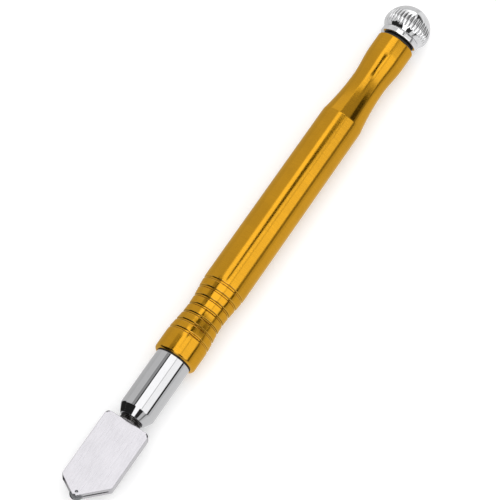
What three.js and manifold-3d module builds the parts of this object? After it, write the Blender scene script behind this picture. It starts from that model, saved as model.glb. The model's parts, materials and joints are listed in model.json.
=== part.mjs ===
// Oil-feed glass cutter with a broad head, lying on its side on a bench.
//
// Frame: millimetres, +X along the handle from the cutting wheel to the filler cap, +Z up and square to the
// broad faces of the head, origin on the bench under the middle of the tool.
// "Station" is the distance along the handle's axis from the cutting edge of the wheel. Radii are measured
// from that axis. The turned pieces are drawn as closed (station, radius) profiles.
import * as THREE from 'three';
import { mergeVertices } from 'three/addons/utils/BufferGeometryUtils.js';
import Module from 'manifold-3d';

const wasm = await Module();
wasm.setup();

// ---- Fits, shared by every pair that meets ----
const RUNNING_FIT = 0.08; // radial, between a turning or sliding piece and its bore
const SEATED_FIT = 0.04; // radial, between a fixed piece and its hole
const SEAT_GAP = 0.05; // along the axis, between faces that bear on each other
const BORE_SLACK = 0.15; // radial, round a piece that passes through freely
const CUT_THROUGH = 1; // how far a cutter runs past the face that it leaves by

// ---- Faceting ----
const FACETS = 32;
const FINE_FACETS = 24;
const SMALL_FACETS = 16;
const FLUTES = 36;

// ---- Cutting wheel and its axle ----
const WHEEL_RADIUS = 2.0;
const WHEEL_THICKNESS = 0.74;
const WHEEL_LAND_RADIUS = 1.72; // where the ground edge starts
const WHEEL_OFFSET = 0.7; // of the axle from the handle's axis, so that the wheel trails
const AXLE_RADIUS = 0.45;

// ---- Head plate ----
const PLATE_WIDTH = 14.0;
const PLATE_THICKNESS = 4.2;
const PLATE_TIP_COVER = 1.1; // metal beyond the axle's centre
const PLATE_TOP_STATION = 26.65;
const SHALLOW_CORNER_RISE = 3.7; // from the point of the V to the corner on the +Y side
const STEEP_CORNER_RISE = 7.6; // from the point of the V to the corner on the -Y side
const V_POINT_SHARPNESS = 0.45; // the rounded tip stands this far short of the point of the V
const PLATE_TOP_ROUND = 1.4;
const PLATE_SHOULDER_ROUND = 0.9;
const PLATE_TIP_ROUND = 1.3;
const PLATE_EDGE_BREAK = 0.15;
const SLOT_WIDTH = 0.9;
const SLOT_DEPTH = 6.5; // from the rounded tip
const OIL_PASSAGE_RADIUS = 0.85;

// ---- Screwed shank between the head plate and the holder ----
const STUD_RADIUS = 1.45;
const STUD_LENGTH = 5.95;
const HEAD_THREAD_PITCH = 0.5;
const HEAD_THREAD_DEPTH = 0.25;
const HEAD_THREAD_ENGAGED = 5.0;
const NECK_LENGTH = 1.5; // thread seen between the plate and the collar

// ---- Chromed nose collar ----
const COLLAR_LIP = 0.42; // wall at the small end of the cone
const COLLAR_CONE_LENGTH = 2.6;
const COLLAR_LENGTH = 18.35;
const SPIGOT_WALL = 0.7;
const COLLAR_STEP = 1.15; // the barrel stands this proud of the collar, in radius
const SPIGOT_STEP = 0.75; // the collar stands this proud of its spigot, in radius

// ---- Holder that the head screws into, free to slide in the collar ----
const HOLDER_THREAD_WALL = 0.44;
const HOLDER_BODY_LENGTH = 11.35;
const HOLDER_NOSE_LENGTH = 4.2;
const NOSE_WALL = 1.2;
const PRESS_TRAVEL = 0.6;
const KEY_RADIUS = 0.45;
const KEY_STATION_FROM_SHOULDER = 6.65;
const KEY_DEPTH = 0.65;
const HOLDER_RING_SECTION = 1.3;
const OIL_PORT_RADIUS = 0.42;

// ---- Oil valve ----
const SPRING_WIRE = 0.6;
const SPRING_LENGTH = 9.3;
const SPRING_ACTIVE_TURNS = 4;
const SPRING_DEAD_TURNS = 1; // closed turns at each end
const SPRING_SIDE_GAP = 0.5;
const WASHER_THICKNESS = 0.5;
const SEAT_BODY_LENGTH = 4.9;
const SEAT_FLANGE_THICKNESS = 1.0;
const SEAT_ORIFICE_RADIUS = 1.1;
const GASKET_THICKNESS = 0.3;
const STEM_RADIUS = 0.55;
const STEM_FOOT_DEPTH = 2.0;
const STEM_HEAD_RADIUS = 2.1;
const STEM_HEAD_THICKNESS = 1.0;
const STEM_HEAD_CHAMFER = 0.3;
const VALVE_SEAL_INSET = 0.1; // inside the rim of the stem's head
const VALVE_SEAL_THICKNESS = 0.8;

// ---- Barrel ----
const BARREL_RADIUS = 6.5;
const MOUTH_ROUND = 1.0;
const MOUTH_ROUND_FLATNESS = 0.75; // the round's reach in radius, as a share of its length
const MOUTH_RECESS_DEPTH = 0.6;
const FLARE_LENGTH = 5.3;
const GRIP_LENGTH = 21.4;
const GRIP_DEPTH = 0.82;
const GROOVES = 7;
const GROOVE_PITCH = 2.9;
const GROOVE_WIDTH = 0.9;
const GROOVE_FLOOR_WIDTH = 0.36;
const GROOVE_DEPTH = 0.3;
const MAIN_LENGTH = 59.0;
const SHOULDER_TAPER = 0.18; // lost in radius over the main length
const NECK_FALL_LENGTH = 13.9;
const NECK_RISE_LENGTH = 9.1;
const NECK_DEPTH = 1.32;
const TOP_RISE = 0.65; // from the neck to the top land, in radius
const TOP_LENGTH = 5.0;
const NECK_WALL = 1.0;

// ---- Filler cap ----
const CAP_THREAD_PITCH = 1.0;
const CAP_THREAD_DEPTH = 0.4;
const CAP_SPIGOT_LENGTH = 6.6;
const CAP_THREAD_STEP = 0.3; // the threaded mouth is this much tighter than the reservoir
const CAP_RING_THICKNESS = 1.2;
const CAP_RING_RECESS = 0.85; // the ring stands this far inside the barrel's top land
const CAP_FLANGE_THICKNESS = 1.7;
const CAP_FLANGE_OVERHANG = 0.17; // the flange stands this proud of the barrel's top land
const CAP_BOSS_RADIUS = 2.4;
const CAP_BOSS_LENGTH = 3.4;
const KNOB_RADIUS = 6.9;
const KNOB_DOME_RADIUS = 6.8;
const KNOB_WAIST_RADIUS = 5.6;
const KNOB_SKIRT_LENGTH = 2.7; // from the flange up to the centre of the dome
const FLUTE_DEPTH = 0.3;
const FLUTE_MIDDLE = 0.6; // above the centre of the dome

// ---- Sizes that follow from those above ----
const COLLAR_RADIUS = BARREL_RADIUS - COLLAR_STEP;
const SPIGOT_RADIUS = COLLAR_RADIUS - SPIGOT_STEP;
const COLLAR_BORE = SPIGOT_RADIUS - SPIGOT_WALL;
const HOLDER_RADIUS = COLLAR_BORE - RUNNING_FIT;
const HOLDER_THREAD_BORE = HOLDER_RADIUS - HOLDER_THREAD_WALL;
const HEAD_THREAD_RADIUS = HOLDER_THREAD_BORE - RUNNING_FIT;
const COLLAR_MOUTH = HEAD_THREAD_RADIUS + BORE_SLACK;
const CONE_TIP_RADIUS = COLLAR_MOUTH + COLLAR_LIP;
const WICK_RADIUS = OIL_PASSAGE_RADIUS - BORE_SLACK;
const NECK_RADIUS = BARREL_RADIUS - SHOULDER_TAPER - NECK_DEPTH;
const RESERVOIR_RADIUS = NECK_RADIUS - NECK_WALL;
const TOP_RADIUS = NECK_RADIUS + TOP_RISE;
const CAP_MOUTH_RADIUS = RESERVOIR_RADIUS - CAP_THREAD_STEP;
const CAP_THREAD_RADIUS = CAP_MOUTH_RADIUS - RUNNING_FIT;
const AXIS_HEIGHT = KNOB_RADIUS * Math.cos(Math.PI / FLUTES); // the cap rests on two of its lobes

// ---- Stations, from the wheel to the cap ----
const AXLE_STATION = WHEEL_RADIUS;
const PLATE_TIP_STATION = AXLE_STATION - PLATE_TIP_COVER;
const V_POINT_STATION = PLATE_TIP_STATION - V_POINT_SHARPNESS;
const SLOT_FLOOR_STATION = PLATE_TIP_STATION + SLOT_DEPTH;
const STUD_END_STATION = PLATE_TOP_STATION - STUD_LENGTH;
const COLLAR_TIP_STATION = PLATE_TOP_STATION + NECK_LENGTH;
const COLLAR_SHOULDER_STATION = COLLAR_TIP_STATION + COLLAR_CONE_LENGTH;
const COLLAR_END_STATION = COLLAR_SHOULDER_STATION + COLLAR_LENGTH;
const HOLDER_STATION = COLLAR_SHOULDER_STATION + SEAT_GAP;
const SHANK_END_STATION = HOLDER_STATION + HEAD_THREAD_ENGAGED;
const HOLDER_BODY_END = HOLDER_STATION + HOLDER_BODY_LENGTH;
const HOLDER_END = HOLDER_BODY_END + HOLDER_NOSE_LENGTH;
const KEY_STATION = COLLAR_SHOULDER_STATION + KEY_STATION_FROM_SHOULDER;
const SPRING_STATION = HOLDER_BODY_END + SEAT_GAP;
const WASHER_STATION = SPRING_STATION + SPRING_LENGTH + SEAT_GAP;
const SEAT_STATION = WASHER_STATION + WASHER_THICKNESS + SEAT_GAP;
const SEAT_FLANGE_STATION = SEAT_STATION + SEAT_BODY_LENGTH;
const SPIGOT_END_STATION = SEAT_FLANGE_STATION - GASKET_THICKNESS - 2 * SEAT_GAP;
const SEAT_END_STATION = SEAT_FLANGE_STATION + SEAT_FLANGE_THICKNESS;
const STEM_HEAD_STATION = SEAT_END_STATION + VALVE_SEAL_THICKNESS + 2 * SEAT_GAP;
const BARREL_STATION = COLLAR_END_STATION;
const GRIP_STATION = BARREL_STATION + FLARE_LENGTH;
const MAIN_STATION = GRIP_STATION + GRIP_LENGTH;
const SHOULDER_STATION = MAIN_STATION + MAIN_LENGTH;
const NECK_STATION = SHOULDER_STATION + NECK_FALL_LENGTH;
const TOP_LAND_STATION = NECK_STATION + NECK_RISE_LENGTH;
const BARREL_END_STATION = TOP_LAND_STATION + TOP_LENGTH;
const CAP_FLANGE_STATION = BARREL_END_STATION + CAP_RING_THICKNESS;
const KNOB_STATION = CAP_FLANGE_STATION + CAP_FLANGE_THICKNESS;
const DOME_STATION = KNOB_STATION + KNOB_SKIRT_LENGTH;
const TOOL_LENGTH = DOME_STATION + KNOB_DOME_RADIUS;

// ---- Finishes ----
const finish = (color, roughness, metalness) =>
  new THREE.MeshStandardMaterial({ color, roughness, metalness });
const GOLD_ANODISE = finish(0xc8911e, 0.3, 0.9);
const CHROME = finish(0xe6e6e8, 0.08, 1.0);
const SATIN_CHROME = finish(0xe4e2e8, 0.3, 0.9);
const BLACKED_STEEL = finish(0x2a2826, 0.35, 0.8);
const BRASS = finish(0xb9923c, 0.35, 0.9);
const SPRING_STEEL = finish(0x9a9c9e, 0.3, 1.0);
const TUNGSTEN_CARBIDE = finish(0x55575a, 0.25, 0.8);
const BLACK_RUBBER = finish(0x141414, 0.7, 0.0);
const RED_FIBRE = finish(0x8c3a2c, 0.8, 0.0);
const COTTON = finish(0xe9e2cf, 0.95, 0.0);

// ---- Solid helpers ----
const WELD = 1e-4;

// A closed geometry as a solid that can be joined and cut.
function solidOf(geometry) {
  const bare = geometry.clone();
  bare.deleteAttribute('normal');
  bare.deleteAttribute('uv');
  const welded = mergeVertices(bare, WELD);
  const corners = welded.index.array;
  const kept = [];
  for (let i = 0; i < corners.length; i += 3) {
    const [a, b, c] = corners.slice(i, i + 3);
    if (a !== b && b !== c && c !== a) kept.push(a, b, c);
  }
  const vertProperties = new Float32Array(welded.attributes.position.array);
  const triVerts = Uint32Array.from(kept);
  return new wasm.Manifold(new wasm.Mesh({ numProp: 3, vertProperties, triVerts }));
}

// A solid as a geometry with flat facets.
function geometryOf(solid) {
  const mesh = solid.getMesh();
  const indexed = new THREE.BufferGeometry();
  indexed.setAttribute('position', new THREE.BufferAttribute(mesh.vertProperties, 3));
  indexed.setIndex(new THREE.BufferAttribute(mesh.triVerts, 1));
  const geometry = indexed.toNonIndexed();
  geometry.computeVertexNormals();
  return geometry;
}

// Turns a closed (station, radius) profile round the handle's axis, with a facet facing straight down.
function turned(profile, facets = FACETS) {
  const outline = profile.map(([station, radius]) => new THREE.Vector2(radius, station));
  const onAxis = profile[0][1] === 0 && profile.at(-1)[1] === 0;
  if (!onAxis) outline.push(outline[0].clone());
  const geometry = new THREE.LatheGeometry(outline, facets);
  geometry.rotateZ(-Math.PI / 2);
  geometry.rotateX(Math.PI / facets);
  return geometry;
}

// A ring or sleeve between two radii and two stations.
function sleeve(start, end, inner, outer, facets = FACETS) {
  return turned([[start, outer], [end, outer], [end, inner], [start, inner]], facets);
}

// A plain rod along the handle's axis.
function rod(start, end, radius, facets = SMALL_FACETS) {
  return turned([[start, 0], [start, radius], [end, radius], [end, 0]], facets);
}

// An O-ring of hexagonal section whose cords touch the two radii.
function ringSeal(start, end, inner, outer) {
  const middle = (start + end) / 2;
  const third = (outer - inner) / 4;
  return turned([
    [start, inner + third],
    [start, outer - third],
    [middle, outer],
    [end, outer - third],
    [end, inner + third],
    [middle, inner],
  ], FINE_FACETS);
}

// A round cutter square to the head's broad faces.
function crossDrill(x, y, radius, length, facets = SMALL_FACETS) {
  const geometry = new THREE.CylinderGeometry(radius, radius, length, facets);
  geometry.rotateX(Math.PI / 2);
  geometry.translate(x, y, 0);
  return geometry;
}

// The (station, radius) points of a ridged thread that starts and ends on its root.
function threadCrests(start, end, crest, depth, pitch) {
  const points = [];
  const turns = Math.floor((end - start) / pitch + 1e-6);
  for (let i = 0; i < turns; i += 1) {
    points.push([start + i * pitch, crest - depth]);
    points.push([start + (i + 0.5) * pitch, crest]);
  }
  points.push([end, crest - depth]);
  return points;
}

function named(name, geometry, material) {
  const mesh = new THREE.Mesh(geometryOf(solidOf(geometry)), material);
  mesh.name = name;
  return mesh;
}

function groupOf(...members) {
  const group = new THREE.Group();
  group.add(...members);
  return group;
}

// ---- Head ----

// The wheel and its axle are made at the axle's own centre and carried there.
function atAxle(mesh) {
  mesh.position.set(AXLE_STATION, WHEEL_OFFSET, 0);
  return mesh;
}

function cuttingWheel() {
  const bore = AXLE_RADIUS + RUNNING_FIT;
  const half = WHEEL_THICKNESS / 2;
  const outline = [
    [bore, -half],
    [WHEEL_LAND_RADIUS, -half],
    [WHEEL_RADIUS, 0],
    [WHEEL_LAND_RADIUS, half],
    [bore, half],
    [bore, -half],
  ].map(([radius, height]) => new THREE.Vector2(radius, height));
  const geometry = new THREE.LatheGeometry(outline, FINE_FACETS);
  geometry.rotateX(Math.PI / 2);
  return atAxle(named('cutting_wheel', geometry, TUNGSTEN_CARBIDE));
}

function wheelAxle() {
  const length = PLATE_THICKNESS - 2 * SEAT_GAP;
  const axle = crossDrill(0, 0, AXLE_RADIUS, length);
  return atAxle(named('wheel_axle', axle, SPRING_STEEL));
}

// Draws an outline whose corners are rounded by the radius given with each.
function roundedShape(corners) {
  const shape = new THREE.Shape();
  corners.forEach(([x, y, round], i) => {
    const corner = new THREE.Vector2(x, y);
    const before = new THREE.Vector2(...corners.at(i - 1).slice(0, 2)).sub(corner).normalize();
    const after = new THREE.Vector2(...corners[(i + 1) % corners.length].slice(0, 2)).sub(corner).normalize();
    const halfAngle = Math.acos(before.dot(after)) / 2;
    const reach = round / Math.tan(halfAngle);
    const from = corner.clone().addScaledVector(before, reach);
    const to = corner.clone().addScaledVector(after, reach);
    if (i === 0) shape.moveTo(from.x, from.y);
    else shape.lineTo(from.x, from.y);
    shape.quadraticCurveTo(x, y, to.x, to.y);
  });
  shape.closePath();
  return shape;
}

function headPlate() {
  const side = PLATE_WIDTH / 2;
  const blank = new THREE.ExtrudeGeometry(roundedShape([
    [V_POINT_STATION, WHEEL_OFFSET, PLATE_TIP_ROUND],
    [V_POINT_STATION + STEEP_CORNER_RISE, -side, PLATE_SHOULDER_ROUND],
    [PLATE_TOP_STATION, -side, PLATE_TOP_ROUND],
    [PLATE_TOP_STATION, side, PLATE_TOP_ROUND],
    [V_POINT_STATION + SHALLOW_CORNER_RISE, side, PLATE_SHOULDER_ROUND],
  ]), {
    depth: PLATE_THICKNESS - 2 * PLATE_EDGE_BREAK,
    bevelEnabled: true,
    bevelSegments: 1,
    bevelSize: PLATE_EDGE_BREAK,
    bevelThickness: PLATE_EDGE_BREAK,
    bevelOffset: -PLATE_EDGE_BREAK,
    curveSegments: 5,
  });
  blank.translate(0, 0, PLATE_EDGE_BREAK - PLATE_THICKNESS / 2);

  const slot = new THREE.BoxGeometry(SLOT_FLOOR_STATION + WHEEL_RADIUS, 2 * PLATE_WIDTH, SLOT_WIDTH);
  slot.translate((SLOT_FLOOR_STATION - WHEEL_RADIUS) / 2, 0, 0);
  const axleHole = crossDrill(AXLE_STATION, WHEEL_OFFSET, AXLE_RADIUS + SEATED_FIT, 2 * PLATE_THICKNESS);
  const socket = rod(STUD_END_STATION - SEAT_GAP, PLATE_TOP_STATION + CUT_THROUGH, STUD_RADIUS + SEATED_FIT);
  const passage = rod(SLOT_FLOOR_STATION - CUT_THROUGH, STUD_END_STATION + CUT_THROUGH, OIL_PASSAGE_RADIUS);

  const solid = [slot, axleHole, socket, passage].reduce(
    (body, cutter) => body.subtract(solidOf(cutter)), solidOf(blank));
  return named('head_plate', geometryOf(solid), SATIN_CHROME);
}

// A hollow stud below, screwed into the plate, and a fine thread above, screwed into the holder.
function headShank() {
  const neckStation = PLATE_TOP_STATION + SEAT_GAP;
  const profile = [
    [STUD_END_STATION, STUD_RADIUS],
    [neckStation, STUD_RADIUS],
    ...threadCrests(neckStation, SHANK_END_STATION, HEAD_THREAD_RADIUS, HEAD_THREAD_DEPTH, HEAD_THREAD_PITCH),
    [SHANK_END_STATION, OIL_PASSAGE_RADIUS],
    [STUD_END_STATION, OIL_PASSAGE_RADIUS],
  ];
  return named('head_shank', turned(profile, SMALL_FACETS), BLACKED_STEEL);
}

function oilWick() {
  const start = SLOT_FLOOR_STATION + SEAT_GAP;
  const end = HOLDER_BODY_END - SEAT_GAP;
  return named('oil_wick', rod(start, end, WICK_RADIUS), COTTON);
}

// ---- Sliding holder and oil valve ----

const SPRING_OUTER = COLLAR_BORE - SPRING_SIDE_GAP;
const SPRING_INNER = SPRING_OUTER - SPRING_WIRE;
const NOSE_RADIUS = Math.min(SPRING_INNER - SPRING_SIDE_GAP, OIL_PASSAGE_RADIUS + NOSE_WALL);
const HOLDER_RING_GROOVE_DEPTH = 0.75;
const HOLDER_RING_GROOVE = HOLDER_RADIUS - HOLDER_RING_GROOVE_DEPTH;
const WICK_END_GAP = 0.6; // from the wick's bore to the socket of the valve stem
const HOLDER_RING_STATION = KEY_STATION + KEY_RADIUS + 1.1;

function headHolder() {
  const wickBoreEnd = HOLDER_END - STEM_FOOT_DEPTH - WICK_END_GAP;
  const threadEnd = SHANK_END_STATION + SEAT_GAP;
  const wickBore = OIL_PASSAGE_RADIUS + SEAT_GAP;
  const footBore = STEM_RADIUS + SEATED_FIT;
  const grooveStart = HOLDER_RING_STATION - SEAT_GAP;
  const grooveEnd = HOLDER_RING_STATION + HOLDER_RING_SECTION + SEAT_GAP;
  const blank = turned([
    [HOLDER_STATION, 0],
    [HOLDER_STATION, HOLDER_RADIUS],
    [grooveStart, HOLDER_RADIUS],
    [grooveStart, HOLDER_RING_GROOVE],
    [grooveEnd, HOLDER_RING_GROOVE],
    [grooveEnd, HOLDER_RADIUS],
    [HOLDER_BODY_END, HOLDER_RADIUS],
    [HOLDER_BODY_END, NOSE_RADIUS],
    [HOLDER_END, NOSE_RADIUS],
    [HOLDER_END, 0],
  ]);
  const threadBore = rod(HOLDER_STATION - CUT_THROUGH, threadEnd, HOLDER_THREAD_BORE, FACETS);
  const wickHole = rod(threadEnd - CUT_THROUGH, wickBoreEnd, wickBore);
  const footHole = rod(HOLDER_END - STEM_FOOT_DEPTH, HOLDER_END + CUT_THROUGH, footBore);
  const portStation = wickBoreEnd - OIL_PORT_RADIUS - BORE_SLACK;
  const ports = crossDrill(portStation, 0, OIL_PORT_RADIUS, 3 * NOSE_RADIUS);

  const keywayLength = 2 * KEY_RADIUS + PRESS_TRAVEL + 2 * BORE_SLACK;
  const keyway = new THREE.BoxGeometry(keywayLength, 2 * (KEY_RADIUS + RUNNING_FIT), 2 * HOLDER_RADIUS);
  const keywayMiddle = KEY_STATION - PRESS_TRAVEL / 2;
  const keywayFloor = HOLDER_RADIUS - KEY_DEPTH - BORE_SLACK;
  keyway.translate(keywayMiddle, 0, -keywayFloor - HOLDER_RADIUS);

  const solid = [threadBore, wickHole, footHole, ports, keyway].reduce(
    (body, cutter) => body.subtract(solidOf(cutter)), solidOf(blank));
  return named('head_holder', geometryOf(solid), BRASS);
}

function holderSeal() {
  const inner = HOLDER_RING_GROOVE + SEATED_FIT;
  const outer = COLLAR_BORE - SEATED_FIT / 2;
  const end = HOLDER_RING_STATION + HOLDER_RING_SECTION;
  return named('holder_o_ring', ringSeal(HOLDER_RING_STATION, end, inner, outer), BLACK_RUBBER);
}

function valveStem() {
  const foot = HOLDER_END - STEM_FOOT_DEPTH + SEAT_GAP;
  const head = STEM_HEAD_STATION;
  return named('valve_stem', turned([
    [foot, 0],
    [foot, STEM_RADIUS],
    [head, STEM_RADIUS],
    [head, STEM_HEAD_RADIUS],
    [head + STEM_HEAD_THICKNESS, STEM_HEAD_RADIUS - STEM_HEAD_CHAMFER],
    [head + STEM_HEAD_THICKNESS, 0],
  ], FINE_FACETS), SPRING_STEEL);
}

function valveSeal() {
  const start = SEAT_END_STATION + SEAT_GAP;
  const inner = STEM_RADIUS + SEATED_FIT;
  const outer = STEM_HEAD_RADIUS - VALVE_SEAL_INSET;
  const seal = sleeve(start, start + VALVE_SEAL_THICKNESS, inner, outer, FINE_FACETS);
  return named('valve_seal', seal, BLACK_RUBBER);
}

class CoilCurve extends THREE.Curve {
  constructor(start, length, radius, activeTurns, deadTurns, wire) {
    super();
    Object.assign(this, { start, length, radius, activeTurns, deadTurns, wire });
  }

  // Closed turns at both ends advance a little more than the wire's thickness. The rest share what is left.
  getPoint(t, target = new THREE.Vector3()) {
    const turns = this.activeTurns + 2 * this.deadTurns;
    const turn = t * turns;
    const deadPitch = this.wire * 1.12;
    const activePitch = (this.length - 2 * this.deadTurns * deadPitch) / this.activeTurns;
    const low = Math.min(turn, this.deadTurns);
    const middle = Math.min(Math.max(turn - this.deadTurns, 0), this.activeTurns);
    const high = Math.max(turn - this.deadTurns - this.activeTurns, 0);
    const angle = turn * 2 * Math.PI;
    return target.set(
      this.start + (low + high) * deadPitch + middle * activePitch,
      this.radius * Math.cos(angle),
      this.radius * Math.sin(angle),
    );
  }
}

function valveSpring() {
  const wireRadius = SPRING_WIRE / 2;
  const section = new THREE.Shape();
  section.absarc(0, 0, wireRadius, 0, 2 * Math.PI);
  const start = SPRING_STATION + wireRadius;
  const length = SPRING_LENGTH - SPRING_WIRE;
  const mean = SPRING_OUTER - wireRadius;
  const path = new CoilCurve(start, length, mean, SPRING_ACTIVE_TURNS, SPRING_DEAD_TURNS, SPRING_WIRE);
  const steps = 12 * (SPRING_ACTIVE_TURNS + 2 * SPRING_DEAD_TURNS);
  const coil = new THREE.ExtrudeGeometry(section, { steps, extrudePath: path, curveSegments: 3 });
  return named('valve_spring', coil, SPRING_STEEL);
}

function springWasher() {
  const outer = COLLAR_BORE - SEATED_FIT;
  return named('spring_washer',
    sleeve(WASHER_STATION, WASHER_STATION + WASHER_THICKNESS, SEAT_ORIFICE_RADIUS, outer), SPRING_STEEL);
}

function valveSeat() {
  return named('valve_seat', turned([
    [SEAT_STATION, COLLAR_BORE - SEATED_FIT],
    [SEAT_FLANGE_STATION, COLLAR_BORE - SEATED_FIT],
    [SEAT_FLANGE_STATION, SPIGOT_RADIUS - SEATED_FIT],
    [SEAT_END_STATION, SPIGOT_RADIUS - SEATED_FIT],
    [SEAT_END_STATION, SEAT_ORIFICE_RADIUS],
    [SEAT_STATION, SEAT_ORIFICE_RADIUS],
  ]), BRASS);
}

function seatGasket() {
  const start = SPIGOT_END_STATION + SEAT_GAP;
  return named('seat_gasket',
    sleeve(start, start + GASKET_THICKNESS, COLLAR_BORE, SPIGOT_RADIUS - SEATED_FIT), RED_FIBRE);
}

// ---- Collar ----

// Where the collar's shoulder meets the ring that seals it against the barrel.
const COLLAR_RING_THICKNESS = 0.8;
const COLLAR_FACE_INSET = 0.3;
const COLLAR_FACE_STATION = COLLAR_END_STATION - COLLAR_FACE_INSET;

function noseCollar() {
  const blank = turned([
    [COLLAR_TIP_STATION, CONE_TIP_RADIUS],
    [COLLAR_SHOULDER_STATION, COLLAR_RADIUS],
    [COLLAR_FACE_STATION, COLLAR_RADIUS],
    [COLLAR_FACE_STATION, SPIGOT_RADIUS],
    [SPIGOT_END_STATION, SPIGOT_RADIUS],
    [SPIGOT_END_STATION, COLLAR_BORE],
    [COLLAR_SHOULDER_STATION, COLLAR_BORE],
    [COLLAR_SHOULDER_STATION, COLLAR_MOUTH],
    [COLLAR_TIP_STATION, COLLAR_MOUTH],
  ]);
  const keyHole = crossDrill(KEY_STATION, 0, KEY_RADIUS + SEATED_FIT, COLLAR_RADIUS);
  keyHole.translate(0, 0, -COLLAR_RADIUS);
  const solid = solidOf(blank).subtract(solidOf(keyHole));
  return named('nose_collar', geometryOf(solid), CHROME);
}

// The dowel that stops the holder turning. It sits in the underside of the collar.
function keyPin() {
  const inner = HOLDER_RADIUS - KEY_DEPTH;
  const outer = COLLAR_RADIUS - 2 * SEAT_GAP;
  const pin = crossDrill(KEY_STATION, 0, KEY_RADIUS, outer - inner);
  pin.translate(0, 0, -(outer + inner) / 2);
  return named('key_pin', pin, SPRING_STEEL);
}

function collarSeal() {
  const start = COLLAR_FACE_STATION + SEAT_GAP / 2;
  const inner = SPIGOT_RADIUS + SEATED_FIT;
  const end = start + COLLAR_RING_THICKNESS;
  return named('collar_o_ring', ringSeal(start, end, inner, COLLAR_RADIUS), BLACK_RUBBER);
}

// ---- Barrel ----

// Radius of the waisted grip, without its grooves.
function gripRadius(station) {
  const along = (station - GRIP_STATION) / GRIP_LENGTH;
  return BARREL_RADIUS - (GRIP_DEPTH / 2) * (1 - Math.cos(2 * Math.PI * along));
}

function gripProfile() {
  const points = [[GRIP_STATION, BARREL_RADIUS]];
  const middle = GRIP_STATION + GRIP_LENGTH / 2;
  const first = middle - ((GROOVES - 1) / 2) * GROOVE_PITCH;
  for (let i = 0; i < GROOVES; i += 1) {
    const groove = first + i * GROOVE_PITCH;
    const floor = gripRadius(groove) - GROOVE_DEPTH;
    points.push([groove - GROOVE_WIDTH / 2, gripRadius(groove - GROOVE_WIDTH / 2)]);
    points.push([groove - GROOVE_FLOOR_WIDTH / 2, floor]);
    points.push([groove + GROOVE_FLOOR_WIDTH / 2, floor]);
    points.push([groove + GROOVE_WIDTH / 2, gripRadius(groove + GROOVE_WIDTH / 2)]);
  }
  return points;
}

// The concave neck falls steeply from the shoulder and rises gently to the top land.
function neckProfile() {
  const points = [];
  const falls = 5;
  for (let i = 0; i < falls; i += 1) {
    const left = 1 - i / falls;
    points.push([NECK_STATION - NECK_FALL_LENGTH * left, NECK_RADIUS + NECK_DEPTH * left * left]);
  }
  const rises = 5;
  for (let i = 0; i <= rises; i += 1) {
    const along = i / rises;
    const swell = (1 - Math.cos(Math.PI * along)) / 2;
    points.push([NECK_STATION + NECK_RISE_LENGTH * along, NECK_RADIUS + TOP_RISE * swell]);
  }
  return points;
}

function mouthRoundProfile() {
  const points = [];
  const steps = 3;
  for (let i = 0; i <= steps; i += 1) {
    const angle = (i / steps) * (Math.PI / 2);
    const inset = MOUTH_ROUND * MOUTH_ROUND_FLATNESS;
    points.push([
      BARREL_STATION + MOUTH_ROUND * (1 - Math.sin(angle)),
      BARREL_RADIUS - inset * (1 - Math.cos(angle)),
    ]);
  }
  return points.reverse();
}

// The outside has broad facets, so the tool lies steady on the one that faces down.
function handleBarrel() {
  const recess = COLLAR_RADIUS + BORE_SLACK / 2;
  const recessEnd = BARREL_STATION + MOUTH_RECESS_DEPTH;
  const spigotBore = SPIGOT_RADIUS + SEATED_FIT;
  const spigotBoreEnd = SEAT_END_STATION + SEAT_GAP;
  const capThreadStart = BARREL_END_STATION - CAP_SPIGOT_LENGTH - SEAT_GAP;
  const outside = solidOf(turned([
    [BARREL_STATION, 0],
    ...mouthRoundProfile(),
    ...gripProfile(),
    [MAIN_STATION, BARREL_RADIUS],
    ...neckProfile(),
    [BARREL_END_STATION, TOP_RADIUS],
    [BARREL_END_STATION, 0],
  ], FINE_FACETS));
  const bore = solidOf(turned([
    [BARREL_STATION - CUT_THROUGH, 0],
    [BARREL_STATION - CUT_THROUGH, recess],
    [recessEnd, recess],
    [recessEnd, spigotBore],
    [spigotBoreEnd, spigotBore],
    [spigotBoreEnd + Math.abs(spigotBore - RESERVOIR_RADIUS), RESERVOIR_RADIUS],
    [capThreadStart - CAP_THREAD_STEP, RESERVOIR_RADIUS],
    [capThreadStart, CAP_MOUTH_RADIUS],
    [BARREL_END_STATION + CUT_THROUGH, CAP_MOUTH_RADIUS],
    [BARREL_END_STATION + CUT_THROUGH, 0],
  ]));
  return named('handle_barrel', geometryOf(outside.subtract(bore)), GOLD_ANODISE);
}

// ---- Cap ----

function capRing() {
  const start = BARREL_END_STATION + SEAT_GAP / 2;
  const end = CAP_FLANGE_STATION - SEAT_GAP / 2;
  const inner = CAP_THREAD_RADIUS + SEATED_FIT;
  return named('cap_o_ring', ringSeal(start, end, inner, TOP_RADIUS - CAP_RING_RECESS), BLACK_RUBBER);
}

function capPlug() {
  const flange = TOP_RADIUS + CAP_FLANGE_OVERHANG;
  const spigotStart = BARREL_END_STATION - CAP_SPIGOT_LENGTH + SEAT_GAP;
  const threadEnd = BARREL_END_STATION - CAP_THREAD_DEPTH;
  return named('cap_plug', turned([
    [spigotStart, 0],
    ...threadCrests(spigotStart, threadEnd, CAP_THREAD_RADIUS, CAP_THREAD_DEPTH, CAP_THREAD_PITCH),
    [CAP_FLANGE_STATION, CAP_THREAD_RADIUS - CAP_THREAD_DEPTH],
    [CAP_FLANGE_STATION, flange],
    [KNOB_STATION, flange],
    [KNOB_STATION, CAP_BOSS_RADIUS],
    [KNOB_STATION + CAP_BOSS_LENGTH, CAP_BOSS_RADIUS],
    [KNOB_STATION + CAP_BOSS_LENGTH, 0],
  ]), CHROME);
}

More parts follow.
